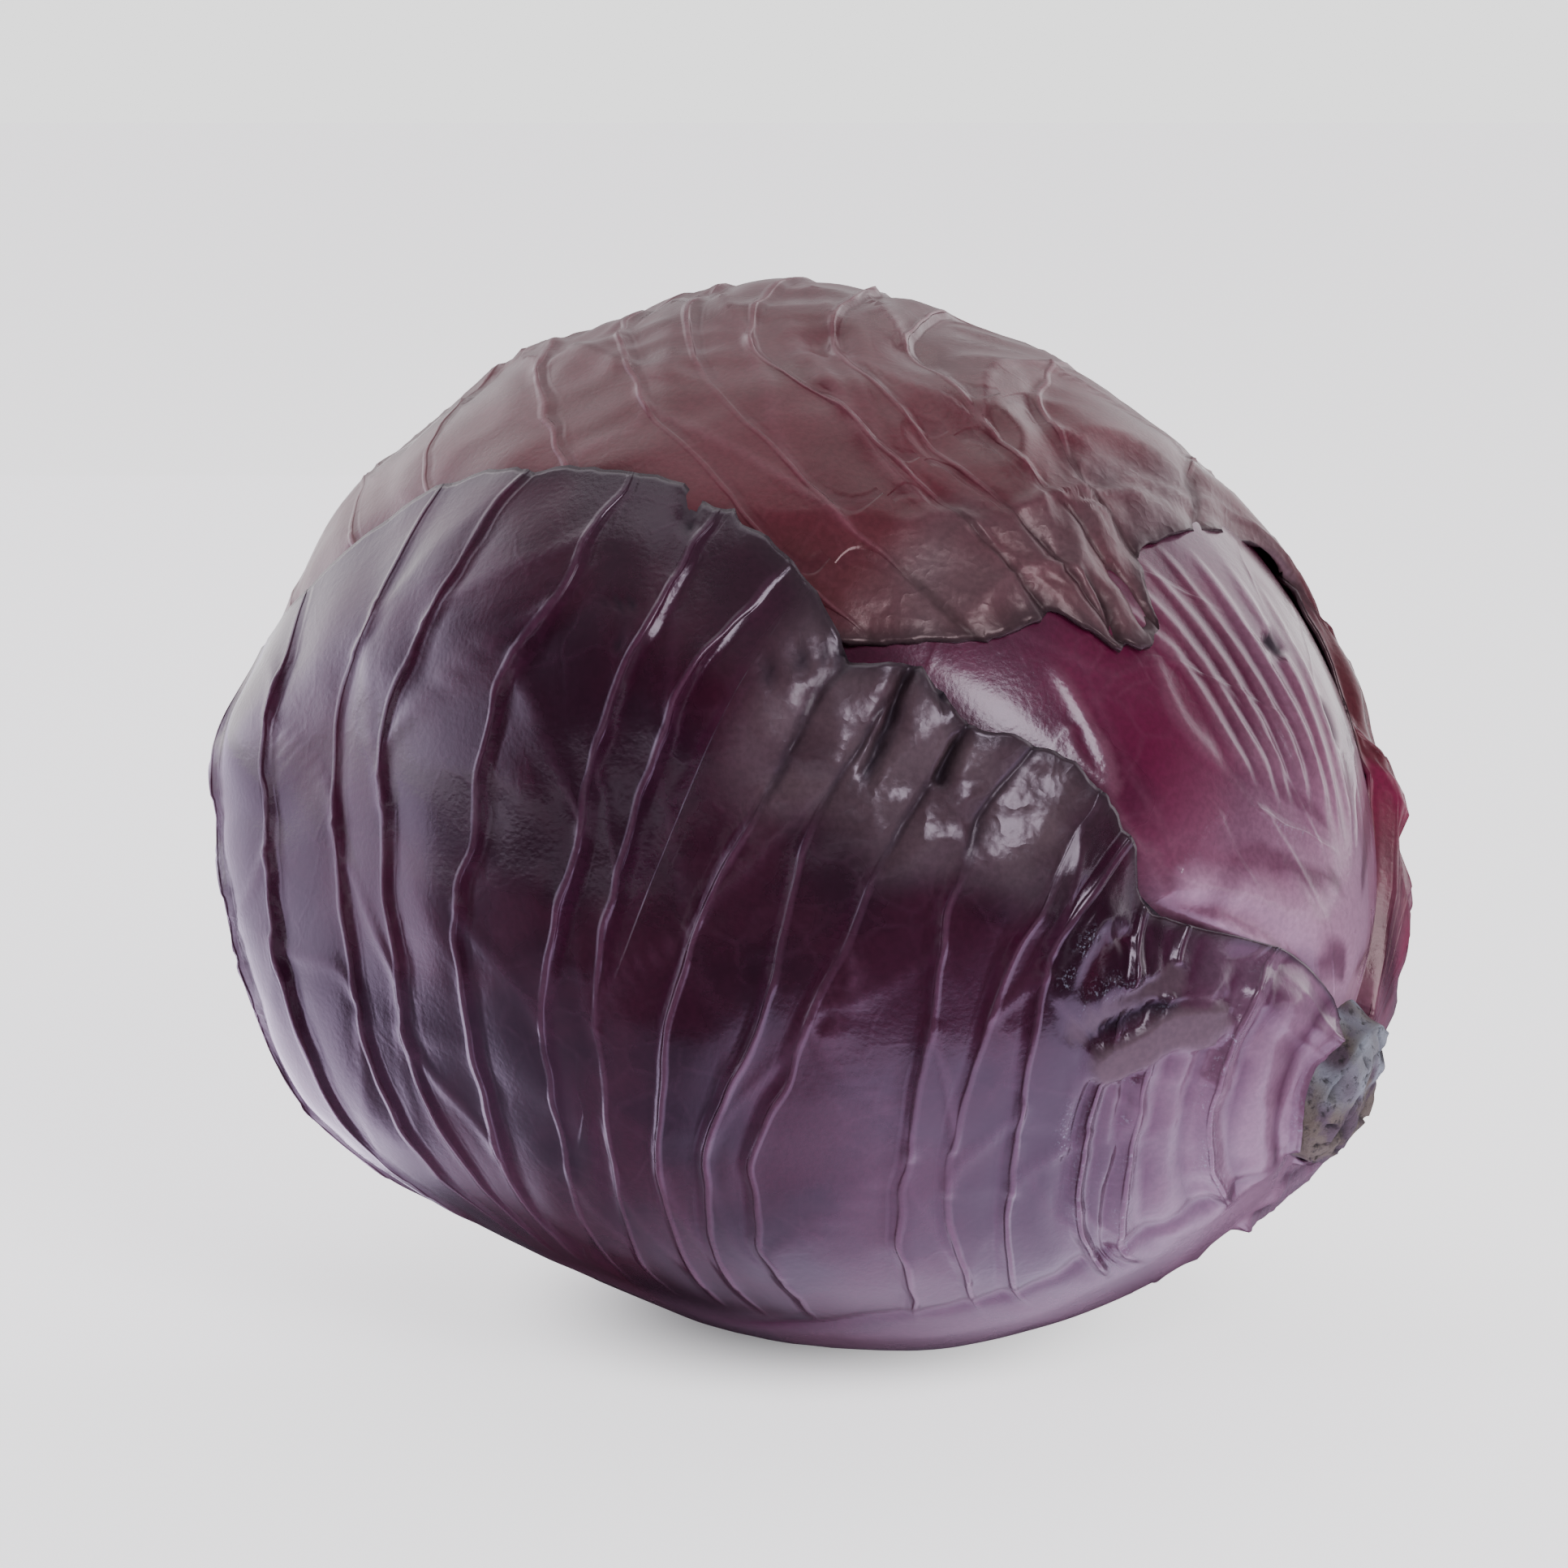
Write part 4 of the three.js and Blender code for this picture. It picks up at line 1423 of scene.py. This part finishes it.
@dataclass
class Stump:
    """The cut stem: a short, lopsided plug with a torn, cracked face."""

    form: HeadForm
    material: Material
    radius: float = STUMP_RADIUS
    length: float = STUMP_LENGTH
    segments: int = 96
    rings: int = 16
    ring_width: float = 0.66
    wall_cuts: int = 12

    def foot(self) -> float:
        """How far out along the stem the inner head comes, inside the ring of leaf bases.

        Returns:
            The distance from the middle of the head, in millimetres.
        """
        turns, reaches = np.meshgrid(np.arange(0, 360, 30), np.linspace(0, BASE, 5))
        directions = place(turns, reaches)
        return float((self.form.radius(directions) * np.cos(np.radians(reaches))).max())

    def build(self) -> Piece:
        """Model the plug as a closed body on the stem's axis.

        Returns:
            The finished object.
        """
        shape = bmesh.new()
        bmesh.ops.create_cone(shape, cap_ends=True, segments=self.segments, radius1=self.radius,
                              radius2=self.radius, depth=self.length)
        for _ in range(self.rings):
            bmesh.ops.inset_individual(shape, faces=self.caps(shape), thickness=self.ring_width)
        walls = [edge for edge in shape.edges
                 if abs(edge.verts[0].co.z - edge.verts[1].co.z) > self.length / 2]
        bmesh.ops.subdivide_edges(shape, edges=walls, cuts=self.wall_cuts)
        placed, crack, chalk = self.weather(np.array([vertex.co[:] for vertex in shape.verts]))
        move(shape, placed)
        bmesh.ops.triangulate(shape, faces=self.caps(shape))
        bmesh.ops.recalc_face_normals(shape, faces=shape.faces)
        mesh = make_mesh(shape, "stump_mesh", {"painted_shade": crack, "chalk": chalk})
        return finish(mesh, "stump", self.material, 0.0)

    @staticmethod
    def caps(shape: bmesh.types.BMesh) -> list[bmesh.types.BMFace]:
        """The plug's round end faces, as far as they aren't cut into rings."""
        return [face for face in shape.faces if len(face.verts) > 4]

    def weather(self, points: Array) -> tuple[Array, Array, Array]:
        """Round, crack and place the plug's points.

        Args:
            points: on a plain plug about the z axis, in millimetres.

        Returns:
            The points in the scene, in metres, how much painted shade its crack gives each, and how
            chalky its skin is.
        """
        across = np.hypot(points[:, 0], points[:, 1])
        angle = np.arctan2(points[:, 1], points[:, 0])
        top = smooth((points[:, 2] / self.length + 0.5 - 0.7) / 0.3)
        rim = smooth((across / self.radius - 0.72) / 0.28)
        rough = wander(points, 5.0, 81) * 0.9 + wander(points, 1.9, 82) * 0.45
        # cracks in the cut face are sunk and get painted shade
        crack = smooth((np.abs(wander(points * [1, 1, 0.2], 3.4, 83)) * -6.0 + 1.0)) * top
        pale = smooth((points @ self.to_sky() + 2.0) / 5.0) * smooth(wander(points, 4.0, 85) + 0.7)
        points = points.copy()
        points[:, 2] += top * (rough * 0.8 - 1.6 * rim - 1.1 * crack)
        squeeze = 1.0 - 0.025 * (1 + np.cos(3 * angle + 1)) - 0.03 * top
        squeeze += 0.02 * wander(points, 4.0, 84)
        squeeze += 0.12 * (1.0 - smooth((points[:, 2] / self.length + 0.5) / 0.6))
        points[:, :2] *= squeeze[:, None]
        up = self.foot() + LAYER_GAP + self.length / 2 + points[:, 2]
        world = up[:, None] * STEM + points[:, :1] * UNDERSIDE + points[:, 1:2] * BACK
        return (world + HEAD_CENTRE) * MM, crack, pale

    @staticmethod
    def to_sky() -> Array:
        """Which way is up, on the plain plug about the z axis."""
        return -np.array([UNDERSIDE @ DOWN, BACK @ DOWN, STEM @ DOWN])


@dataclass
class Studio:
    """Pale floor, soft surround, dark camera side, and the camera."""

    photo_size: float = 1932.0
    mm_per_pixel: float = 0.12
    head_pixel: tuple[float, float] = (1000.0, 1015.0)
    camera_height: float = 12.0
    lens: float = 100.0
    sensor: float = 36.0
    room_strength: float = 1.05
    seen_strength: float = 1.9  # makes the room that the camera sees as pale as the far floor

    def build(self) -> None:
        """Make the floor, the lights, the surround and the camera."""
        self.floor()
        self.card()
        self.surround()
        self.lights()
        self.camera()

    def plane(self, name: str, low: Vector, high: Vector,
              paper: Material) -> Piece:
        """Add a flat stage piece.

        Args:
            name: its name.
            low: one corner, in metres.
            high: the opposite corner.
            paper: its finish.

        Returns:
            The object.
        """
        shape = bmesh.new()
        bmesh.ops.create_grid(shape, x_segments=1, y_segments=1, size=0.5)
        span = high - low
        middle = (high + low) / 2
        bmesh.ops.transform(shape, verts=shape.verts, matrix=Matrix.Translation(middle)
                            @ Matrix.Diagonal((span.x, span.y, 1.0, 1.0)))
        mesh = make_mesh(shape, name)
        mesh.materials.append(paper)
        sheet = add_object(name, mesh)
        return sheet

    def floor(self) -> None:
        """Lay the pale floor, lit from below, with a painted shadow dimming its glow close under the
        head.
        """
        nodes = Nodes(bpy.data.materials.new("backlit_floor_painted_shadow"))
        # painted shadow: the glow falls from 1.6 to 0.2 close under the head
        glow = nodes.ease(nodes.length(nodes.here()), 0.015, 0.05, 0.2, 1.6)
        paper = nodes.finish(nodes.add("BsdfPrincipled", {
            "Base Color": srgb("#f1f0f2"), "Roughness": 0.9, "Specular IOR Level": 0.1,
            "Emission Color": srgb("#f1f0f2"), "Emission Strength": glow}))
        self.plane("floor", Vector((-3, -3, 0)), Vector((3, 3, 0)), paper)

    def card(self) -> None:
        """Lay a card that only reflections show: pale round the head, dim, then black in front."""
        nodes = Nodes(bpy.data.materials.new("graded_card"))
        here = nodes.here()
        sideways, front, _ = nodes.add("SeparateXYZ", {0: here}).outputs
        back = nodes.ease(front, -0.045, -0.02)
        glow = nodes.times(
            nodes.plus(
                nodes.times(nodes.ease(sideways, -0.05, 0.03, 0.6, 3.5), nodes.rest_of(back)),
                nodes.times(nodes.ease(sideways, -0.08, -0.03, 4.0, 0.3), back)),
            # painted shadow: the card's glow falls to a twentieth close under the head, as if the
            # head shaded it
            nodes.ease(nodes.length(here, (0.6, 1.0, 1.0)), 0.035, 0.06, 0.05, 1.0),
            nodes.ease(nodes.length(here), 0.12, 0.3, 1.0, 0.55),
            nodes.ease(front, CARD_EDGE - MM, CARD_EDGE + MM))
        paper = nodes.finish(nodes.add("Emission", {"Color": srgb("#e0d0f0"), "Strength": glow}))
        card = self.plane("graded_card", Vector((-0.9, -1.2, 0.0005)),
                          Vector((0.9, 0.9, 0.0005)), paper)
        card.visible_camera = False
        card.visible_diffuse = False
        card.visible_shadow = False

    def surround(self) -> None:
        """Light the room: bright behind and above, dark towards the camera."""
        nodes = Nodes(bpy.data.worlds.new("studio"))
        bpy.context.scene.world = nodes.owner
        direction = nodes.add("TexCoord").outputs["Generated"]
        across, along, up = nodes.add("SeparateXYZ", {0: direction}).outputs
        behind = nodes.times(
            nodes.ease(along, -0.05, 0.45), nodes.ease(up, 0.5, 0.88, 1.0, 0.1),
            nodes.ease(nodes.math("ABSOLUTE", across), 0.15, 0.5, 0.8, 2.1))
        aside = nodes.ease(across, -0.5, -0.95)
        left = nodes.times(
            aside, nodes.ease(along, -0.45, 0.0, 0.0, 2.4), nodes.ease(up, 0.05, 0.35, 1.0, 0.1))
        bright = nodes.math("MAXIMUM", behind, nodes.ease(up, 0.4, 0.95, 0.0, 0.3), 0.03)
        bright = nodes.times(nodes.plus(bright, left), self.room_strength)
        tint = nodes.blend(aside, "#f4eef2", "#e4daf0")
        glow = nodes.add("Background", {"Color": tint, "Strength": bright})
        seen = nodes.add("Background", {
            "Color": srgb("#ffffff"), "Strength": self.seen_strength})
        path = nodes.add("LightPath").outputs["Is Camera Ray"]
        mix = nodes.add("MixShader", {0: path, 1: glow.outputs[0], 2: seen.outputs[0]})
        nodes.add("OutputWorld", {0: mix.outputs[0]})

    def lights(self) -> None:
        """Hang the soft boxes."""
        for name, spot, size, power in (
                ("key_box", (0.45, -0.78, 0.70), 0.42, 6.0),
                ("top_box", (-0.1, 0.35, 1.1), 1.0, 3.0)):
            lamp = bpy.data.lights.new(name, "AREA")
            lamp.energy = power
            lamp.size = size
            lamp.shape = "SQUARE"
            holder = add_object(name, lamp)
            holder.location = spot
            aim = Vector((0, 0, 0.07)) - Vector(spot)
            holder.rotation_euler = aim.to_track_quat("-Z", "Y").to_euler()

    def camera(self) -> None:
        """Set the camera at the photo's angle, with the head where the photo has it."""
        tilt = math.radians(self.camera_height)
        up = np.array([0.0, math.sin(tilt), math.cos(tilt)])
        towards = np.array([0.0, -math.cos(tilt), math.sin(tilt)])
        middle = self.photo_size / 2
        across = (middle - self.head_pixel[0]) * self.mm_per_pixel
        above = (self.head_pixel[1] - middle) * self.mm_per_pixel
        distance = self.mm_per_pixel * self.photo_size * self.lens / self.sensor
        spot = HEAD_CENTRE + np.array([across, 0.0, 0.0]) + above * up + distance * towards
        data = bpy.data.cameras.new("camera")
        data.lens = self.lens
        data.sensor_width = self.sensor
        holder = add_object("camera", data)
        holder.location = spot * MM
        holder.rotation_euler = (math.pi / 2 - tilt, 0.0, 0.0)
        bpy.context.scene.camera = holder


def main() -> None:
    """Build the head in its studio."""
    logging.basicConfig(level=logging.INFO)
    form = HeadForm()
    stack = LeafStack(form, LEAF_PLANS)
    inner = WaxyLeaf(name="shaded_inner_cabbage_leaf", flesh="#1c0a18", red_flesh="#2c0a1e")
    InnerHead(stack, inner.make()).build()
    for index, plan in enumerate(LEAF_PLANS):
        look, leaf_finish = LOOKS[plan.name]
        WrapperLeaf(plan, look, index, stack, leaf_finish.make()).build()
    Stump(form, DryStump().make()).build()
    Studio().build()


if __name__ == "__main__":
    main()
